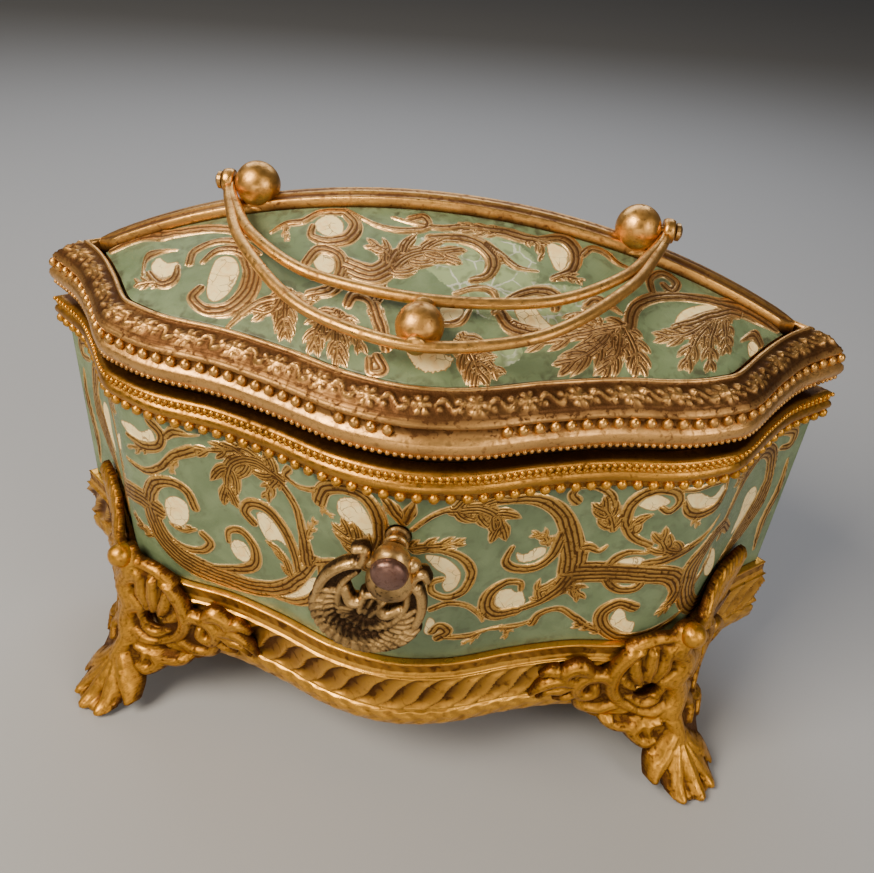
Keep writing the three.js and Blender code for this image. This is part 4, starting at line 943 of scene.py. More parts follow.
print("walls and dome")
wallSkin("wall_front_enamel", -1)
wallSkin("wall_back_enamel", 1)
domeSkin("dome_front_enamel", -1)
domeSkin("dome_back_enamel", 1)


# Mouldings and beads that run round the whole plan.

ringColumns = 1000
table = ringTable(ringColumns // 2 + 1)
ringLine = table[np.argmin(np.abs(offsets))]
ringLength = np.linalg.norm(np.diff(np.vstack([ringLine, ringLine[:1]]), axis=0), axis=1).sum()


def moulding(name, profile, rows, shape, body, material, node):
    # Open profile of (offset, height), from the foot up, carried round the plan and closed down its
    # inner side; shape gives how far each point stands out of it and how much painted shade it gets.
    prof = evenly(np.array(profile, float), rows)
    n = table.shape[1]
    s = (np.arange(n) * ringLength / n)[:, None]
    out, hollow = shape(s, prof[:, 1][None], prof)
    out, hollow = out + np.zeros((n, rows)), hollow + np.zeros((n, rows))
    slope = np.gradient(prof, axis=0)
    slope /= np.linalg.norm(slope, axis=1)[:, None] + 1e-9
    offset = prof[:, 0] + out * slope[:, 1]
    height = prof[:, 1] - out * slope[:, 0]
    points = onTable(table, offset, height)
    faces = gridFaces(n, rows, closeRows=True, closeColumns=True)
    mesh = makeMesh(name, points, faces, {"hollow": hollow})
    return addPiece(name, mesh, body, material, (node,))


def beadRow(offset, z, radius, count, skip=()):
    # Small balls at equal steps along the plan line moved to that offset.
    loop = table[int(round((offset - offsets[0]) / plan["offsetStep"]))]
    loop = np.vstack([loop, loop[:1]])
    spots = evenly(loop, count + 1)[:-1]
    keepers = np.setdiff1d(np.arange(count), skip)
    centres = np.hstack([spots[keepers], np.full((len(keepers), 1), z)])
    points, faces = ball((0, 0, 0), radius, 8, 6)
    shifted = centres[:, None] + points
    numbered = faces[None] + len(points) * np.arange(len(centres))[:, None, None]
    return shifted.reshape(-1, 3), numbered.reshape(-1, 4)


def addBeads(name, rows, body, material):
    # Several bead rows as one piece.
    points, faces = joined([beadRow(*row) for row in rows])
    mesh = makeMesh(name, points, faces, {"hollow": np.zeros(len(points))})
    return addPiece(name, mesh, body, material)


gadroon = dict(count=78, slant=0.85, low=28.4, high=40.2, deep=4.608, bend=0.9, lean=1.3,
               ribbonLow=21.4, ribbonHigh=26.5, ribbon=0.14, bandLow=41.9, bandHigh=44.3, engraved=0.06)


def plinthShape(s, h, prof):
    # Slanting hollows, each meeting the next in a sharp crest: over a pitch x goes from 0 to 1 and
    # depth is deep x sqrt(x) (1 - x)^lean, closing above and below. A waved ribbon runs below them
    # and a flat engraved band above.
    g = gadroon
    pitch = ringLength / g["count"]
    across = np.clip((h - g["low"]) / (g["high"] - g["low"]), 0, 1)
    lean = (h - g["low"]) * g["slant"] + g["bend"] * np.sin(2 * np.pi * across)
    x = (s - lean) / pitch % 1
    outer = (prof[:, 0] > -0.5)[None]
    window = np.clip(1 - (2 * across - 1)**6, 0, 1) * outer
    scoop = np.sqrt(x + 1e-6) * (1 - x)**g["lean"] * window
    inside = (h > g["low"]) & (h < g["high"])
    low = (h > g["ribbonLow"]) & (h < g["ribbonHigh"])
    flat = (h > g["bandLow"]) & (h < g["bandHigh"])
    ribbon = g["ribbon"] * np.sin(s * 1.1 + 1.4 * np.sin(h * 1.5)) * low * outer
    engraved = g["engraved"] * np.sin(s * 1.9 + 2.5 * np.sin(s * 0.23) + 1.2 * h) * flat * outer
    crest = np.exp(-(np.minimum(x, 1 - x) / 0.09)**2)
    # painted shade: each hollow is darkest just past one crest and lightens towards the next, as light falling
    # from one side would leave it
    shade = np.clip(1.25 * (1 - x) - 0.35 * crest, 0, 1) * (x > 0.03) * window * inside
    # painted shade also in the ribbon's troughs; the flat band is darkened for its own brown and its engraving
    hollow = np.clip(shade + 0.3 * (ribbon < -0.05) + 0.62 * flat + 2 * engraved, 0, 1)
    return -g["deep"] * scoop + ribbon + engraved, hollow


# open profiles, (distance out from the plan line, height)
plinthOuter = [(-0.6, 20.8), (0.6, 20.8), (1.7, 21.4), (2.4, 23), (2.6, 24.8), (2.1, 26.6), (1.3, 27.2),
               (1.5, 27.8), (2.6, 28.4), (2.8, 32), (2.8, 38), (2.5, 40.2), (1.7, 40.5), (1.7, 41.1),
               (1.5, 41.6), (1.35, 42), (1.3, 44.2), (1.55, 44.5), (1.5, 44.85), (1.1, 45), (-0.6, 45)]


def softRim(s, h, prof):
    # A smooth moulding with faint hammer waves; its coves get painted shade, the more the further in they lie,
    # with a slow wave of tone along it.
    waves = 0.03 * np.sin(s * 0.37) * np.sin(s * 0.11 + h)
    hollow = np.clip(0.9 - (prof[:, 0][None] + 0.2) * 0.75, 0, 0.95)
    return waves, hollow + 0.08 * np.sin(s * 0.09)


flowers = dict(count=41, low=118.3, inner=-5.4, outer=0.2, middle=-2.6, petals=6, high=0.75, crumb=0.05,
               sunk=0.35)


def flowerBand(s, h, prof):
    # Chased flowers on the sloping face: at equal steps a petalled rosette with a ball at its heart,
    # between them berries and a running scroll. Each is a bell exp(-(distance / width)^2).
    b = flowers
    across = prof[:, 0][None]
    sloped = (h > b["low"]) & (across > b["inner"]) & (across < b["outer"])
    w = (across - b["middle"]) * 1.15
    pitch = ringLength / b["count"]
    x = (s / pitch % 1 - 0.5) * pitch
    r, turn = np.hypot(x, w), np.arctan2(w, x)
    petals = (0.55 + 0.45 * np.cos(b["petals"] * turn)) * np.exp(-((r - 1.5) / 0.8)**2)
    heart = np.exp(-(r / 0.75)**2)
    scroll = np.exp(-((w - 1.3 * np.sin(2 * np.pi * s / pitch * 2)) / 0.55)**2) * (r > 2.6)
    berry = np.hypot(np.abs(x) - 3.9, np.abs(w) - 0.9)
    berries = np.exp(-(berry / 0.55)**2)
    high = np.clip(petals + heart + 0.7 * scroll + 0.9 * berries, 0, 1.2)
    crumbs = b["crumb"] * np.sin(s * 5.1 + w * 3) * np.sin(w * 6.2 + s * 1.7)
    out = np.where(sloped, b["high"] * high + crumbs - b["sunk"], 0.03 * np.sin(s * 0.37))
    # painted shade: the ground between the flowers and the cove below them are darkened, the raised flowers
    # left bright
    cove = np.clip(0.7 - (across + 0.1) * 0.62, 0, 0.8) * (h < b["low"])
    return out, np.clip(np.where(sloped, 0.9 - 1.1 * high, cove + 0.05), 0, 1)


lidOuter = [(-4.6, 108.8), (0.2, 108.8), (0.7, 109.2), (1.0, 109.9), (1.5, 110.7), (1.75, 111.8),
            (1.5, 112.9), (0.8, 113.7), (0.1, 114.3), (-0.1, 115.2), (0.0, 115.9), (0.5, 116.3),
            (0.55, 117.1), (0.1, 117.6), (-0.1, 118.3), (-0.4, 118.9), (-3.2, 120.9), (-5.2, 121.9),
            (-5.5, 122.4), (-6.2, 122.5), (-6.7, 121.8), (-6.6, 119.4), (-4.6, 119.4)]
bodyOuter = [(-3, 97.3), (0.3, 97.3), (0.7, 98.4), (0.8, 99.2), (1.4, 99.6), (1.95, 100.4), (2.0, 101.3),
             (1.6, 102.2),
             (1.0, 102.6), (0.9, 103.1), (1.3, 103.5), (1.5, 104.2), (1.3, 104.9), (0.6, 105.3), (-3, 105.3)]


print("mouldings")
moulding("plinth_gadroons", plinthOuter, 90, plinthShape, "casket", plinthGilt, "plinth_moulding")
# the body rim takes the darker copy of the gilt, painted shade
moulding("body_rim_moulding", bodyOuter, 48, softRim, "casket", rimShadedGilt, "body_rim")
moulding("lid_rim_flowers", lidOuter, 86, flowerBand, "lid", ornateGilt, "lid_rim")
# bead rows: distance out, height, radius, count and the places of missing beads
addBeads("body_beads", [(1.0, 98.5, 1.35, 136), (1.5, 104.2, 0.62, 300), (1.0, 103.0, 0.6, 300)],
         "casket", giltBrass)
addBeads("lid_beads", [(0.5, 115.0, 1.3, 136, (29, 34, 35, 36, 37, 38, 39)), (0.75, 109.4, 0.62, 300)],
         "lid", wornGilt)


# Ridge, pivot balls and handle.

ridgeLook = dict(columns=320, rows=26, depth=4.4, rib=0.5, ribWidth=0.16, groove=0.22, shoulder=1.1, inset=1)
handle = dict(pivotX=46.4, pivotZ=142.7, ball=5.5, eyeX=53.5, tilt=14.6, bar=1.45, ballReach=43.6,
              ballRadius=5.2,
              outerBar=[(53.5, 0), (52.6, 4), (50.4, 10), (44.7, 21.9), (31.5, 37.4), (18.9, 45.4),
                        (0, 49.6)],
              innerBar=[(53.5, 0), (52, 4), (49.4, 9), (43.3, 18.6), (31.4, 28.4), (19.3, 32.8), (0, 35.0)],
              eye=[(2.0, -1.3), (2.7, -1.3), (3.0, -0.6), (3.0, 0.6), (2.7, 1.3), (2.0, 1.3), (1.4, 1.2),
                   (1.3, 0), (1.4, -1.2), (2.0, -1.3)])


def addJoined(name, parts, body, material, replaced=()):
    # Several closed shapes as one piece. Each shape is turned outwards on its own.
    turned = [(p, f if signedVolume(p - p.mean(0), f) > 0 else f[:, ::-1]) for p, f in parts]
    points, faces = joined(turned)
    mesh = makeMesh(name, points, faces, {"hollow": np.zeros(len(points))}, tuple(points.mean(0)))
    return addPiece(name, mesh, body, material, replaced)


def ridgeBand():
    # Crowned section swept along the ridge: across it, w from -1 to 1, the height is a rib down the
    # middle less a groove each side less shoulder x w^4.
    b = ridgeLook
    x = np.linspace(b["inset"] - ridge["end"], ridge["end"] - b["inset"], b["columns"])[:, None]
    half = np.minimum(ridge["half"], (ridge["end"] - np.abs(x)) * ridge["taper"])
    w = np.linspace(-1, 1, b["rows"])[None]
    rib = b["rib"] * np.exp(-(w / b["ribWidth"])**2)
    crown = rib - b["groove"] * np.cos(w * 3 * np.pi) - b["shoulder"] * w**4
    top = np.dstack([x + 0 * w, w * half, ridgeZ(x) + crown * np.minimum(half / 2, 1)])
    foot = np.dstack([x + 0 * w[:, ::-1], w[:, ::-1] * half, ridgeZ(x) - b["depth"] + 0 * w])
    points, faces = capped(np.concatenate([top, foot], 1))
    # painted shade in the grooves across the band; the hidden underside is fully darkened
    hollow = np.clip(0.5 + 0.6 * np.cos(np.linspace(-1, 1, b["rows"]) * 3 * np.pi), 0, 1) * 0.8
    values = np.r_[np.tile(np.r_[hollow, np.ones(b["rows"])], b["columns"]), 0.5, 0.5]
    mesh = makeMesh("ridge_moulding", points, faces, {"hollow": values}, centre=(0, 0, 130))
    return addPiece("ridge_moulding", mesh, "lid", wornGilt, ("ridge_band",))


def pivotBall(side):
    # Ball on a turned collar: both make one profile turned about the upright axis.
    h = handle
    turn = np.linspace(-0.95, np.pi / 2, 22)
    sphere = np.stack([h["ball"] * np.cos(turn), h["ball"] * np.sin(turn)], 1)
    collar = [(0.0, -6), (3.4, -6), (3.9, -5.2), (3.5, -4.6), (3.1, -4.4)]
    return lathe(collar + list(sphere), "z", (side * h["pivotX"], 0, h["pivotZ"]), 40)


def onHandle(points):
    # Bar points (x, reach) swung down from level by the resting tilt.
    p = np.array(points, float)
    turn = math.radians(handle["tilt"])
    return np.stack([p[:, 0], -p[:, 1] * math.cos(turn), handle["pivotZ"] - p[:, 1] * math.sin(turn)], 1)


def handleParts():
    # Two bars, each mirrored about the middle, and an eye at either end: a section of (radius,
    # distance across) turned about the pivot.
    h = handle
    parts = []
    for half in (h["outerBar"], h["innerBar"]):
        line = onHandle([(-x, y) for x, y in half[:-1]] + half[::-1])
        radii = [1.25, 1.3, h["bar"], h["bar"] * 1.06, h["bar"], 1.3, 1.25]
        parts.append(tube(line, radii, 20, 160, 0.86))
    turn = np.linspace(0, 2 * np.pi, 12, endpoint=False)
    radius, across = np.array(h["eye"]).T[:, :, None]
    for side in (-1, 1):
        rings = np.dstack([across + side * h["eyeX"] + 0 * turn, radius * np.cos(turn),
                           radius * np.sin(turn) + h["pivotZ"]])
        parts.append((rings.reshape(-1, 3), gridFaces(*rings.shape[:2], closeColumns=True)))
    return parts


def handleBall():
    # Slightly uneven ball on a turned neck that is set square to the bars.
    h = handle
    centre = onHandle([(0, h["ballReach"])])[0]
    turn = math.radians(h["tilt"])
    rows = np.linspace(-np.pi / 2, np.pi / 2, 26)
    wobble = 1 + 0.006 * np.sin(rows * 9)
    profile = h["ballRadius"] * np.stack([np.cos(rows) * wobble, np.sin(rows)], 1)
    sphere = lathe(profile, "z", centre, 44)
    neck = lathe([(0.1, -6.8), (2.2, -6.6), (2.6, -6), (2.1, -5.2), (1.9, -4), (1.9, 4), (2.1, 5.2), (2.6, 6.2),
                  (2.2, 7), (0.1, 7.2)], "y", (0, 0, 0), 24)
    spin = np.array([[1, 0, 0], [0, math.cos(turn), -math.sin(turn)], [0, math.sin(turn), math.cos(turn)]])
    return [sphere, (neck[0] @ spin.T + centre, neck[1])]


print("handle")
ridgeBand()
addJoined("pivot_balls", [pivotBall(-1), pivotBall(1)], "lid", wornGilt,
          ("pivot_ball_left", "pivot_ball_right"))
addJoined("handle_bars", handleParts(), "handle", wornGilt,
          ("handle_outer_bar", "handle_inner_bar"))
addJoined("handle_ball_turned", handleBall(), "handle", wornGilt, ("handle_ball",))


# Feet: one pierced casting, mirrored to the four corners.

foot = dict(
    step=0.42, low=0.35, high=61, inner=41, outer=33, thick=1.5, ballHeight=49.4, ballRadius=3.5, ballOut=6.2,
    holes=[(8.2, 30.6, 2.9, 0.9), (-7, 25.4, 2.0, 1.1)],
    reach=[(0, 23.5), (3, 21.6), (6, 18.8), (13, 13.0), (20.5, 8.8), (27, 6.9), (32, 6.4), (38, 5.8),
           (46, 5.0), (51, 3.8), (56, 2.4), (61, 2.2)],
    strokes=[
        ([(0.5, 49), (1.4, 44), (-0.6, 39), (0.8, 33), (-0.4, 27), (1, 21), (0, 15)],
         (2.4, 2.2, 2.6, 2.2, 2.4, 2.2, 2.0)),
        ([(2, 46.6), (4, 44.6), (2, 42.6)], (1.6, 1.8)), ([(-2, 41), (-3.4, 38.6), (-1.6, 36.8)], (1.5, 1.7)),
        ([(2, 35.4), (3.4, 33.4), (1.8, 31.6)], (1.5, 1.7)),
        ([(-2, 29.6), (-3.2, 27.4), (-1.4, 25.6)], (1.4, 1.6)),
        ([(2, 23.6), (3, 21.6), (1.6, 20)], (1.4, 1.6)),
        # arch and shell towards the front
        ([(2, 47.6), (8, 48.4), (13.4, 45.4), (16.8, 39), (17, 32), (14.6, 26.6), (10.6, 23.4)],
         (1.0, 1.3, 1.6, 1.7, 1.5, 1.1)),
        ([(6.6, 34.4), (5.2, 38.6), (4.8, 43.6)], (0.9, 1.6, 1.2)),
        ([(8.4, 34.6), (8.6, 39.4), (8.6, 44.4)], (0.9, 1.6, 1.3)),
        ([(10.4, 33.8), (12, 37.8), (12.8, 41.6)], (0.9, 1.5, 1.2)),
        ([(11.6, 31.8), (14, 33.6), (15, 35.4)], (0.8, 1.2, 0.9)),
        ([(4.8, 28.4), (5.6, 26.4), (9, 25.8), (12.2, 28)], (0.8, 1.2, 0.8)),
        ([(5, 33.4), (4.4, 30.6), (5.6, 27.6)], (0.9, 1.1, 0.8)),
        # scrolls and leaves over the apron
        ([(17, 33), (20, 36.2), (24.4, 35.6), (26.4, 31.6), (24.4, 28.2), (21.2, 28.8), (21.4, 31.6)],
         (1.2, 1.7, 1.9, 1.6, 1.2)),
        ([(15.4, 24), (19, 22), (23.4, 23), (25.4, 26.4)], (1.4, 1.8, 1.6, 1.0)),
        ([(23, 36.6), (26.6, 39.6), (30, 37.8), (30, 34.4)], (1.4, 2.2, 1.8, 1.2)),
        ([(28, 33.4), (32.6, 34.8), (36.6, 33.2), (39.4, 29.6)], (1.5, 1.9, 1.5, 0.4)),
        ([(28, 32), (31.4, 30.6), (34.4, 30.4), (37, 28)], (1.2, 1.5, 1.2, 0.4)),
        ([(30.6, 36), (34, 38.6), (37.4, 37.4)], (1.3, 1.6, 0.5)),
        ([(26, 29), (29, 27.2), (32, 26.8)], (1.2, 1.3, 0.4)),
        ([(33.4, 33.6), (33, 37)], (0.9, 1.0)), ([(27, 36.6), (28.6, 34.8)], (0.9, 0.9)),
        # lower edge down to the toe
        ([(13, 23), (17, 20.4), (16.4, 17.6), (12.6, 18)], (1.3, 1.5, 1.0)),
        ([(9, 20), (12.4, 16.8), (11, 13.8), (8, 14.8)], (1.2, 1.5, 1.0)),
        ([(5, 20), (8, 19.4), (8.6, 16)], (1.2, 1.4, 0.8)),
        ([(3, 24), (6, 22.4), (9.4, 22.6)], (1.0, 1.4, 1.0)),
        # canted side
        ([(-2, 47.6), (-7, 47.4), (-12, 43.4), (-15, 37), (-14.6, 30), (-11.6, 24.6), (-8, 21)],
         (1.2, 1.5, 1.7, 1.5, 1.1)),
        ([(-5, 30), (-5, 36), (-4.6, 43)], (0.9, 1.6, 1.2)),
        ([(-7.4, 30), (-9, 36), (-9, 41.6)], (0.9, 1.6, 1.2)),
        ([(-9.4, 29), (-12, 33), (-12.6, 36.6)], (0.9, 1.4, 1.0)),
        ([(-15, 34), (-19, 37), (-23, 34.6), (-23.4, 30.6), (-20, 29)], (1.3, 1.8, 1.7, 1.1)),
        ([(-13, 25), (-17, 23.6), (-20.6, 25.6)], (1.4, 1.5, 0.8)),
        ([(-8, 21), (-11.6, 18.6), (-10.6, 15)], (1.3, 1.5, 0.9)),
        ([(-3, 24), (-6, 20), (-5, 16.6)], (1.2, 1.5, 1.0)),
        # toe fan
        ([(0, 17), (-3.4, 12), (-8, 8.4), (-10.4, 4.6)], (1.4, 1.9, 2.0, 1.0)),
        ([(0, 16), (-2.4, 10), (-5.6, 5), (-6.4, 1.8)], (1.3, 1.9, 2.0, 1.2)),
        ([(0, 16), (0.2, 10), (-0.6, 5), (-0.4, 1.8)], (1.4, 2.0, 2.2, 1.6)),
        ([(0, 16), (2.8, 11), (4.8, 6), (5.6, 2)], (1.3, 1.9, 2.0, 1.2)),
        ([(0, 17), (4.4, 13), (8.4, 9.4), (10.6, 5.4)], (1.4, 1.9, 2.0, 1.0)),
    ],
    leaf=[(-3, 44), (-6, 50), (-11, 55), (-18, 58.4), (-26, 59.4), (-31, 58), (-30, 52), (-26, 46),
          (-19, 41.6), (-10, 40)],
    leafVein=[(-6, 44), (-13, 50), (-21, 54.6), (-30, 57)],
    body=[(2, 50), (9, 48.8), (14.6, 45.6), (18, 39), (24, 38), (27.6, 34), (26.6, 27), (21, 22),
          (15.6, 19.6), (11, 14.6), (8.6, 9),
          (8.4, 4), (6, 0.8), (-6, 0.8), (-9, 4), (-8.6, 9), (-10.6, 15.6), (-15, 22), (-22, 28), (-24, 35),
          (-16, 40), (-12, 45.6), (-5, 49.6)],
)
lowPlan = evenly(planLine, 4001)
shoulder = int(np.argmin(np.abs(lowPlan[:, 0] - plan["shoulderX"])))
planStep = np.linalg.norm(lowPlan[1] - lowPlan[0])
planAlong = np.gradient(lowPlan, axis=0)
planAlong /= np.linalg.norm(planAlong, axis=1)[:, None]
planOut = np.stack([-planAlong[:, 1], planAlong[:, 0]], 1)
blur = 120      # points on each side over which the plan's normals are averaged
planOut = np.stack([np.convolve(np.pad(v, blur, "edge"), np.ones(2 * blur + 1) / (2 * blur + 1), "valid")
                    for v in planOut.T], 1)


def footSheet():
    # Sheet in front of the shoulder: a runs along the plan from it, positive to the middle. Every
    # point stands out by the reach at its height, less a crown towards the edges, plus relief.
    b = foot
    a, z = sheetGrid(np.arange(-b["outer"], b["inner"], b["step"]), np.arange(b["low"], b["high"], b["step"]))
    fields = newFields(a, z)
    for points, widths in b["strokes"]:
        layStroke(fields, points, widths, 1.1, 1.14)
    layCell(fields, b["body"], 0.5)
    shape = np.maximum(fields["ivory"], fields["gold"] + 0.15)
    bulge = fields["round"].copy()
    leaf = newFields(a, z)
    layCell(leaf, b["leaf"], 0.35)
    layStroke(leaf, b["leafVein"], (0.9, 0.7, 0.3))
    ribs = np.cos((a * 0.8 + z * 0.62) * 2.2 + np.abs(leaf["gold"]) * 1.2)
    leafRise = np.clip(leaf["ivory"], 0, 2.2)**0.6 * 1.1 + 0.16 * ribs * (leaf["ivory"] > 0.4)
    leafRise += 0.5 * leaf["round"]
    shape = np.maximum(shape, leaf["ivory"])
    bulge = np.where((leaf["ivory"] > 0) & (z > 46), np.maximum(leafRise, bulge), bulge)
    for holeA, holeZ, holeRadius, squeeze in b["holes"]:
        shape = np.minimum(shape, np.hypot((a - holeA) * squeeze, z - holeZ) - holeRadius)
    heights, reaches = np.array(b["reach"]).T
    reach = np.interp(z, heights, reaches)
    # above the toe the reach falls off to that of the apron, in the toe by the square of a
    apron = np.where(z > 46, 2.2, 3.7 + 0.5 * np.clip((z - 26) / 10, 0, 1))
    crown = np.where(z > 20, np.clip(np.abs(a) / 16, 0, 1)**1.6, np.clip(np.abs(a) / 14, 0, 1.2)**2 * 2.2)
    reach = np.where(z > 20, reach * (1 - crown) + apron * crown, reach - crown)
    curled = 1.6 * np.exp(-((z - 1.8) / 1.6)**2)
    k = np.clip(shoulder - a / planStep, 0, len(lowPlan) - 1).astype(int)
    # the toe lies on a plain arc across the shoulder, the rest follows the plan
    curve = smoothStep((z - 12) / 14)[..., None]
    flatPlace = (lowPlan[shoulder] - planAlong[shoulder] * (a * 0.96)[..., None]
                 - planOut[shoulder] * (0.022 * a * a)[..., None])
    place = lowPlan[k] * curve + flatPlace * (1 - curve)
    out = planOut[k] * curve + planOut[shoulder] * (1 - curve)
    out /= np.linalg.norm(out, axis=2)[..., None]
    lift = bulge * 0.95 + curled + 0.1 * np.cos(2 * np.pi * fields["flute"]) * (fields["gold"] > 0.5)
    front = np.dstack([place + out * (reach + lift)[..., None], z])
    inward = np.where(z > 20, np.minimum(b["thick"], reach - 2.9 * (z < 45.6) + 0.3), b["thick"] + 0.6)
    back = np.dstack([place + out * (reach - np.maximum(inward, 0.35))[..., None], z])
    faces = gridFaces(*a.shape)
    back, _ = cutSheet(back, faces, shape)
    front, faces = cutSheet(front, faces, shape)
    # painted shade: darkened away from the raised scrolls and the toe's curl, and in the troughs of the flutes
    hollow = np.clip(0.75 - bulge * 0.5 - curled * 0.3, 0, 1)
    hollow = np.clip(hollow + 0.3 * (np.cos(2 * np.pi * fields["flute"]) < -0.2), 0, 1)
    points, faces, used = closedSheet(front, back, faces)
    spot = np.r_[lowPlan[shoulder] + planOut[shoulder] * b["ballOut"], b["ballHeight"]]
    knob, knobFaces = ball(spot, b["ballRadius"], 28, 20)
    # painted shade on the back of the sheet; the ball is left bright
    values = np.r_[hollow.ravel()[used], np.full(len(used), 0.9), np.zeros(len(knob))]
    points, faces = joined([(points, faces), (knob, knobFaces)])
    return points, faces, values


print("feet")
footPoints, footFaces, footHollow = footSheet()
for frontName, sy in (("front", -1), ("back", 1)):
    for sideName, sx in (("left", -1), ("right", 1)):
        mesh = makeMesh(f"foot_casting_{frontName}_{sideName}", footPoints * [sx, sy, 1], footFaces,
                        {"hollow": footHollow}, (sx * 55, sy * 26, 30))
        addPiece(mesh.name, mesh, "casket", giltBrass, (f"foot_{frontName}_{sideName}",))


# Key: bow, hub and cap.

key = dict(
    z=86, tilt=19, pinY=-65.6, thick=1.1, step=0.3, narrow=0.90, hang=2.3,
    drop=[(0.05, 4.9), (2.4, 4.4), (3.9, 2.4), (4.7, -0.4), (5.5, -3.4), (5.6, -6), (4.6, -8.2), (2.6, -9.4),
          (0.05, -9.8)],
)
bow = dict(
    strokes=[
        ([(-6.2, -0.6), (-9.8, -2.4), (-13, -8), (-13.2, -15), (-9.8, -21.6), (-3, -25)],
         (1.2, 1.3, 1.25, 1.2, 1.0, 0.8)),
        ([(6.2, -0.6), (9.8, -2.6), (12.6, -8.4), (12.6, -15), (9, -21.8), (1, -25.2)],
         (1.2, 1.3, 1.2, 1.1, 1.0, 0.8)),
        ([(-6.6, -3.4), (-8.4, -8), (-8, -13.4), (-4.8, -17.4), (0, -19)], (0.9, 1.0, 1.0, 0.9, 0.7)),
        ([(6.6, -3.4), (8.2, -8), (7.8, -13.4), (4.8, -17.6), (1, -19.2)], (0.9, 1.0, 1.0, 0.9, 0.7)),
        ([(-9.6, 2.8), (-7.8, 3.8), (-6.6, 1.8), (-6.9, -1.0), (-8.6, -0.8)], (1.2, 1.4, 1.3, 1.0)),
        ([(9.6, 2.4), (7.9, 3.4), (6.6, 1.5), (6.9, -1.1), (8.6, -0.8)], (1.2, 1.4, 1.3, 1.0)),
        ([(-7.4, -9.6), (-4.8, -12.8), (-2.2, -11.6), (-2.8, -9)], (1.2, 1.5, 1.0)),
        ([(7.4, -9.6), (4.9, -12.8), (2.4, -11.6), (3, -9)], (1.2, 1.4, 1.0)),
        ([(-1.4, -14.6), (-2.4, -11), (-0.8, -8.4), (1.4, -8.6), (2.4, -11), (1.4, -14.6)], (1.0, 1.2, 1.0)),
        ([(0, -14.4), (0, -10)], (0.9, 1.0)),
    ],
    # fans: angles in degrees, widths, and points as (radius across, radius up, height, added angle)
    fans=[
        ((160, 384, 12), (0.8, 1.0, 0.7), [(8.6, 8, -14, 0), (10.4, 9.6, -14, 0.1), (12.6, 11.4, -14, 0.26)]),
        ((196, 350, 17), (0.5, 0.95), [(3.4, 2.2, -14.6, 0), (7.2, 5, -14.4, 0)]),
        ((188, 356, 11), (1.2, 1.35, 0.8),
         [(11.6, 11.4, -14, 0), (13.4, 13, -14, 0.05), (14.3, 13.7, -14, 0.15)]),
    ],
    body=[(-6.2, 1.6), (-10, -1), (-13, -7), (-13.2, -15), (-10, -22), (-4, -26), (3, -26.2), (9.4, -22.6),
          (12.8, -15.6),
          (12.6, -7.4), (9.6, -1.4), (6.4, 1.4), (5.4, -2), (7.4, -6), (6.8, -10), (3, -11.4), (-3, -11.4),
          (-7, -10), (-7.8, -6), (-5.6, -2)],
)


def fanStrokes(angles, widths, points):
    # The same stroke set round an oval at each angle: (across cos t, height + up sin t).
    return [([(across * math.cos(t + more), height + up * math.sin(t + more))
              for across, up, height, more in points], widths) for t in np.radians(np.arange(*angles))]


def bowSheet():
    # Flat casting with relief on both faces. It hangs from the pin, turned by the tilt in its plane.
    b = key
    u, v = sheetGrid(np.arange(-15.6, 15.6, b["step"]), np.arange(-28.4, 5.6, b["step"]))
    fields = newFields(u, v)
    for points, widths in sum((fanStrokes(*fan) for fan in bow["fans"]), bow["strokes"]):
        layStroke(fields, points, widths, 0.9)
    layCell(fields, bow["body"], 0.3)
    shape = np.maximum(fields["gold"], fields["ivory"])
    rim = 1 - np.exp(-np.clip(shape, 0, None) / 0.5)
    flutes = 0.12 * np.cos(2 * np.pi * fields["flute"]) * (fields["gold"] > 0.3)
    lift = b["thick"] * (0.35 + 0.65 * rim) + 0.95 * fields["round"] + flutes
    turn = math.radians(b["tilt"])
    across, down = u * b["narrow"], v * b["narrow"] * 1.06 - b["hang"]
    x = across * math.cos(turn) + down * math.sin(turn)
    z = down * math.cos(turn) - across * math.sin(turn)
    front = np.dstack([x, b["pinY"] - lift, z + b["z"]])
    back = np.dstack([x, b["pinY"] + np.minimum(lift, 1.9), z + b["z"]])
    faces = gridFaces(*u.shape)
    back, _ = cutSheet(back, faces, shape)
    front, faces = cutSheet(front, faces, shape)
    # painted shade: the bow is darkened except on the crests of its rounded strokes, which stay bright as
    # painted highlights
    hollow = np.clip(1.12 - fields["round"] * 1.1, 0, 1)
    points, faces, used = closedSheet(front, back, faces)
    layers = {"hollow": np.tile(hollow.ravel()[used], 2)}
    mesh = makeMesh("key_bow_cast", points, faces, layers, (-2, b["pinY"], 70))
    return addPiece("key_bow_cast", mesh, "key_bow", keyBrass, ("key_bow",))


def keyBody():
    # Hanging drop for the hub, turned about the upright axis and flattened, with the two bosses
    # that take the bow and the collars of the shank.
    z = key["z"]
    drop, dropFaces = lathe(key["drop"], "z", (0, 0, 0), 56, 70)
    drop = drop * [1, 0.82, 1] + [0, key["pinY"] - 0.3, z]
    ends = [ball((side * 4.6, key["pinY"], z), 1.9, 20, 14) for side in (-1, 1)]
    collars = [lathe([(0.1, y), (2.4, y), (2.9, y - 0.6), (2.4, y - 1.2), (0.1, y - 1.2)], "y", (0, 0, z), 36)
               for y in (-56.4, -59.2)]
    return [(drop, dropFaces)] + ends + collars


print("key")
bowSheet()
addJoined("key_hub_turned", keyBody(), "key", keyBrass, ("key_hub",))
capProfile = [(0.1, -68.4), (3.9, -68.6), (4.1, -69.6), (3.7, -70.5), (2.8, -71.1), (1.3, -71.5), (0.1, -71.6)]
addJoined("key_cap_turned", [lathe(capProfile, "y", (0, 0, key["z"]), 40, 40)], "key", capBrass,
          ("key_cap",))


# Linings of buttoned and channelled silk.

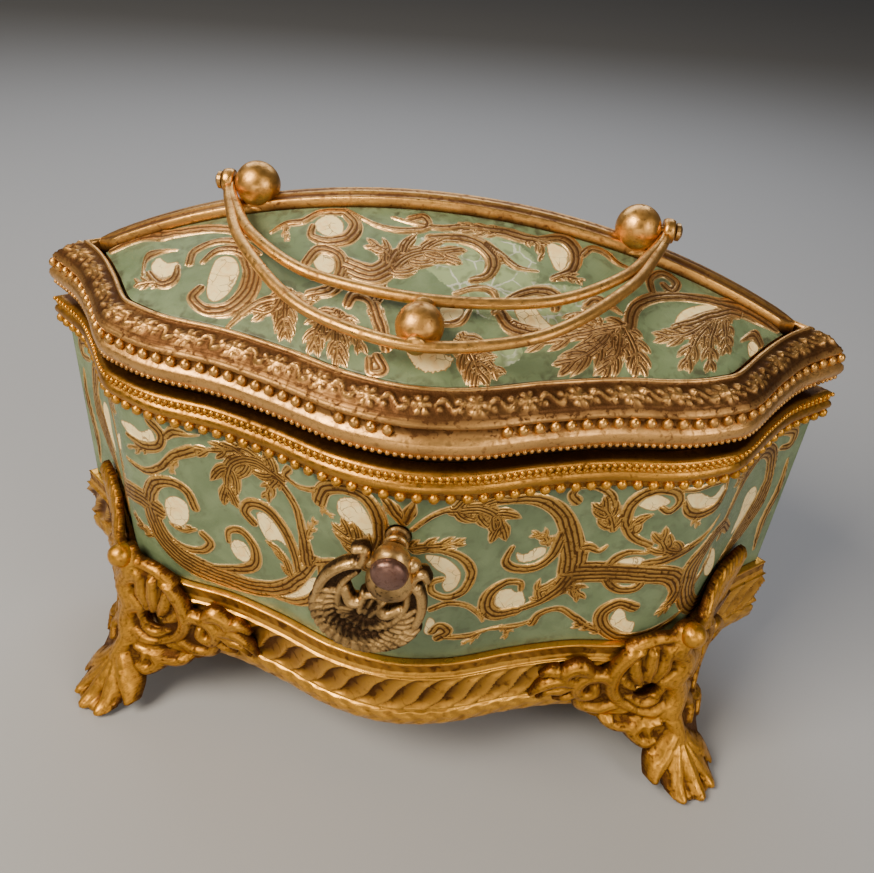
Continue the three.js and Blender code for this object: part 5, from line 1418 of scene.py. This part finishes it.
pads = dict(tuft=15.0, dimple=1.5, channel=9.0, around=420, edgeRings=60, faceRings=110, fill=0.5,
            wallLow=31.9, wallHigh=96.4, wallOffset=-3.6)


def tufts(x, y):
    # Diamond grid of buttons joined by shallow creases: bells of the distances, in tufts, from two
    # sets of slanting lines.
    p, q = (x + y) / pads["tuft"], (x - y) / pads["tuft"]
    dp, dq = np.abs(p - np.round(p)), np.abs(q - np.round(q))
    crease = np.exp(-(np.minimum(dp, dq) / 0.10)**2) * 0.45
    return pads["dimple"] * (crease + np.exp(-(np.hypot(dp, dq) / 0.16)**2))


def quilt(name, offset, base, thickness, up, body, node, material):
    # Crowned pad: rings of the plan shrink to the middle by f, and its face rises as a flattened
    # arch, sqrt(1 - f^14), less the dimples.
    loop = halfLine(offset, pads["around"] // 2 + 1)
    loop = np.vstack([loop * [1, -1], loop[::-1][1:-1]])
    edge = 1 - np.linspace(0, 1, pads["edgeRings"])**1.5 * 0.02
    f = np.r_[edge, np.linspace(0.975, 0.01, pads["faceRings"])][:, None]
    x, y = loop[:, 0] * f, loop[:, 1] * f
    arch = np.clip(1 - f**14, 0, 1)**0.5
    dip = tufts(x, y) * np.clip((1 - f) * 9, 0, 1)
    face = base + up * (thickness * (0.3 + 0.7 * arch) - dip)
    rings = np.dstack([x, y, face])
    shrink = np.array([[0.01], [0.5], [0.995]])
    under = np.dstack([loop[:, 0] * shrink, loop[:, 1] * shrink, np.full((3, len(loop)), float(base))])
    stack = [rings[::-1], under[::-1]] if up > 0 else [under, rings]
    points, faces = capped(np.concatenate(stack))
    # painted shade in the button dimples and creases, carried by the hollow attribute
    dips = np.clip(dip / pads["dimple"], 0, 1)
    flatDips = np.zeros((3, len(loop)))
    hollow = np.concatenate([dips[::-1], flatDips] if up > 0 else [flatDips, dips])
    mesh = makeMesh(name, points, faces, {"hollow": np.r_[hollow.ravel(), 0, 0]},
                    (0, 0, base + up * thickness / 2))
    piece = addPiece(name, mesh, body, material, (node,))
    return piece


def wallQuilt():
    # Closed band inside the walls, padded in upright channels: a rounded oblong section whose inner
    # side swells by |sin| of the way round in channels.
    low, high = pads["wallLow"], pads["wallHigh"]
    t = np.linspace(0, 2 * np.pi, 40, endpoint=False)
    depth = np.sign(np.cos(t)) * np.abs(np.cos(t))**0.35
    height = np.sign(np.sin(t)) * np.abs(np.sin(t))**0.6
    s = np.arange(table.shape[1]) * ringLength / table.shape[1]
    puff = np.abs(np.sin(np.pi * s / (ringLength / round(ringLength / pads["channel"]))))[:, None]
    offset = pads["wallOffset"] + np.where(depth < 0, depth * (0.35 + 0.65 * puff**0.7), depth)
    z = (low + high) / 2 + height * (high - low) / 2 + 0 * puff
    # painted shade in the creases between the channels on the inner side
    hollow = np.where(depth < 0, 1 - puff**0.5, 0) + 0 * offset
    faces = gridFaces(*offset.shape, closeRows=True, closeColumns=True)
    mesh = makeMesh("wall_quilt", onTable(table, offset, z), faces, {"hollow": hollow})
    piece = addPiece("wall_quilt", mesh, "casket", silk, ("wall_lining",))


print("linings")
quilt("floor_quilt", -5.2, 24.9, 5.6, 1, "casket", "floor_pad", silk)
quilt("lid_quilt", -7.4, 116.4, 5.2, -1, "lid", "lid_lining", silk)
wallQuilt()


# Finishes of the pieces that keep their CAD shape.

# the walls, inner lip and lock curtain get near-black gilding as painted shade
nodeFinish = dict(
    wall_front=shadeDark, wall_back=shadeDark, inner_lip=shadeDark, base_plate=plainGilt,
    lid_panel_front=plainGilt, lid_panel_back=plainGilt, pivot_pin_left=plainGilt, pivot_pin_right=plainGilt,
    key_shank=shankBrass, bow_pin=hingeBrass, lock_cover=hingeBrass, lock_curtain=shadeDark,
    hinge_leaf_body=hingeBrass, hinge_leaf_lid=hingeBrass, hinge_pin=hingeBrass,
)
for nodeName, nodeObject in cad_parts.items():
    finish = nodeFinish.get(nodeName)
    if finish is None:
        finish = hingeBrass if "rivet" in nodeName else lockSteel
    for materialSlot in nodeObject.material_slots:
        materialSlot.material = finish


# Floor, light and view.

studio = dict(
    floorSize=6.0, floorColour=(0.34, 0.35, 0.375), floorRoughness=0.85,
    worldColour=(0.58, 0.56, 0.54), worldStrength=0.13,
    lamps=[
        dict(place=(-0.42, -0.36, 0.62), aim=(0, 0, 0.09), size=(0.40, 0.40),
             power=9.6, colour=(1.0, 0.87, 0.68)),
        dict(place=(0.55, -0.42, 0.40), aim=(0, 0, 0.08), size=(0.35, 0.50),
             power=2.6, colour=(1.0, 0.90, 0.78)),
        dict(place=(-0.10, 0.55, 0.55), aim=(0, 0, 0.10), size=(0.9, 0.35),
             power=3.4, colour=(0.88, 0.93, 1.0)),
        dict(place=(0.05, -0.75, 0.16), aim=(0, 0, 0.06), size=(0.7, 0.16),
             power=1.3, colour=(1.0, 0.88, 0.72)),
    ],
)
view = dict(place=(0.01650, -0.19867, 0.21759), right=(0.99022, 0.11808, 0.07434),
            up=(-0.12847, 0.56370, 0.81593), forward=(-0.05444, 0.81750, -0.57335), lens=35.83)


def floorAndLight():
    # A square floor, an even world light and the lamps, each turned from its place to its aim.
    b = studio
    half = b["floorSize"] / 2
    mesh = bpy.data.meshes.new("studio_floor")
    corners = [(-half, -half, 0), (half, -half, 0), (half, half, 0), (-half, half, 0)]
    mesh.from_pydata(corners, [], [(0, 1, 2, 3)])
    floor = bpy.data.objects.new("studio_floor", mesh)
    scene.collection.objects.link(floor)
    material, _, shader = newMaterial("studioPaper")
    shader.inputs["Base Color"].default_value = (*b["floorColour"], 1)
    shader.inputs["Roughness"].default_value = b["floorRoughness"]
    mesh.materials.append(material)
    world = bpy.data.worlds.new("studioAir")
    world.use_nodes = True
    world.node_tree.nodes["Background"].inputs[0].default_value = (*b["worldColour"], 1)
    world.node_tree.nodes["Background"].inputs[1].default_value = b["worldStrength"]
    scene.world = world
    for index, lamp in enumerate(b["lamps"]):
        light = bpy.data.lights.new(f"softbox{index}", "AREA")
        light.shape = "RECTANGLE"
        light.size, light.size_y = lamp["size"]
        light.energy = lamp["power"]
        light.color = lamp["colour"]
        made = bpy.data.objects.new(light.name, light)
        scene.collection.objects.link(made)
        made.location = lamp["place"]
        made.rotation_euler = (Vector(lamp["place"]) - Vector(lamp["aim"])).to_track_quat("Z", "Y").to_euler()


def addCamera():
    # Camera whose three directions and place are given outright.
    b = view
    camera = bpy.data.cameras.new("view")
    camera.lens, camera.sensor_width = b["lens"], 36
    made = bpy.data.objects.new("view", camera)
    scene.collection.objects.link(made)
    turned = Matrix([b["right"], b["up"], [-v for v in b["forward"]]]).transposed().to_4x4()
    made.matrix_world = Matrix.Translation(b["place"]) @ turned
    scene.camera = made


print("studio")
floorAndLight()
addCamera()
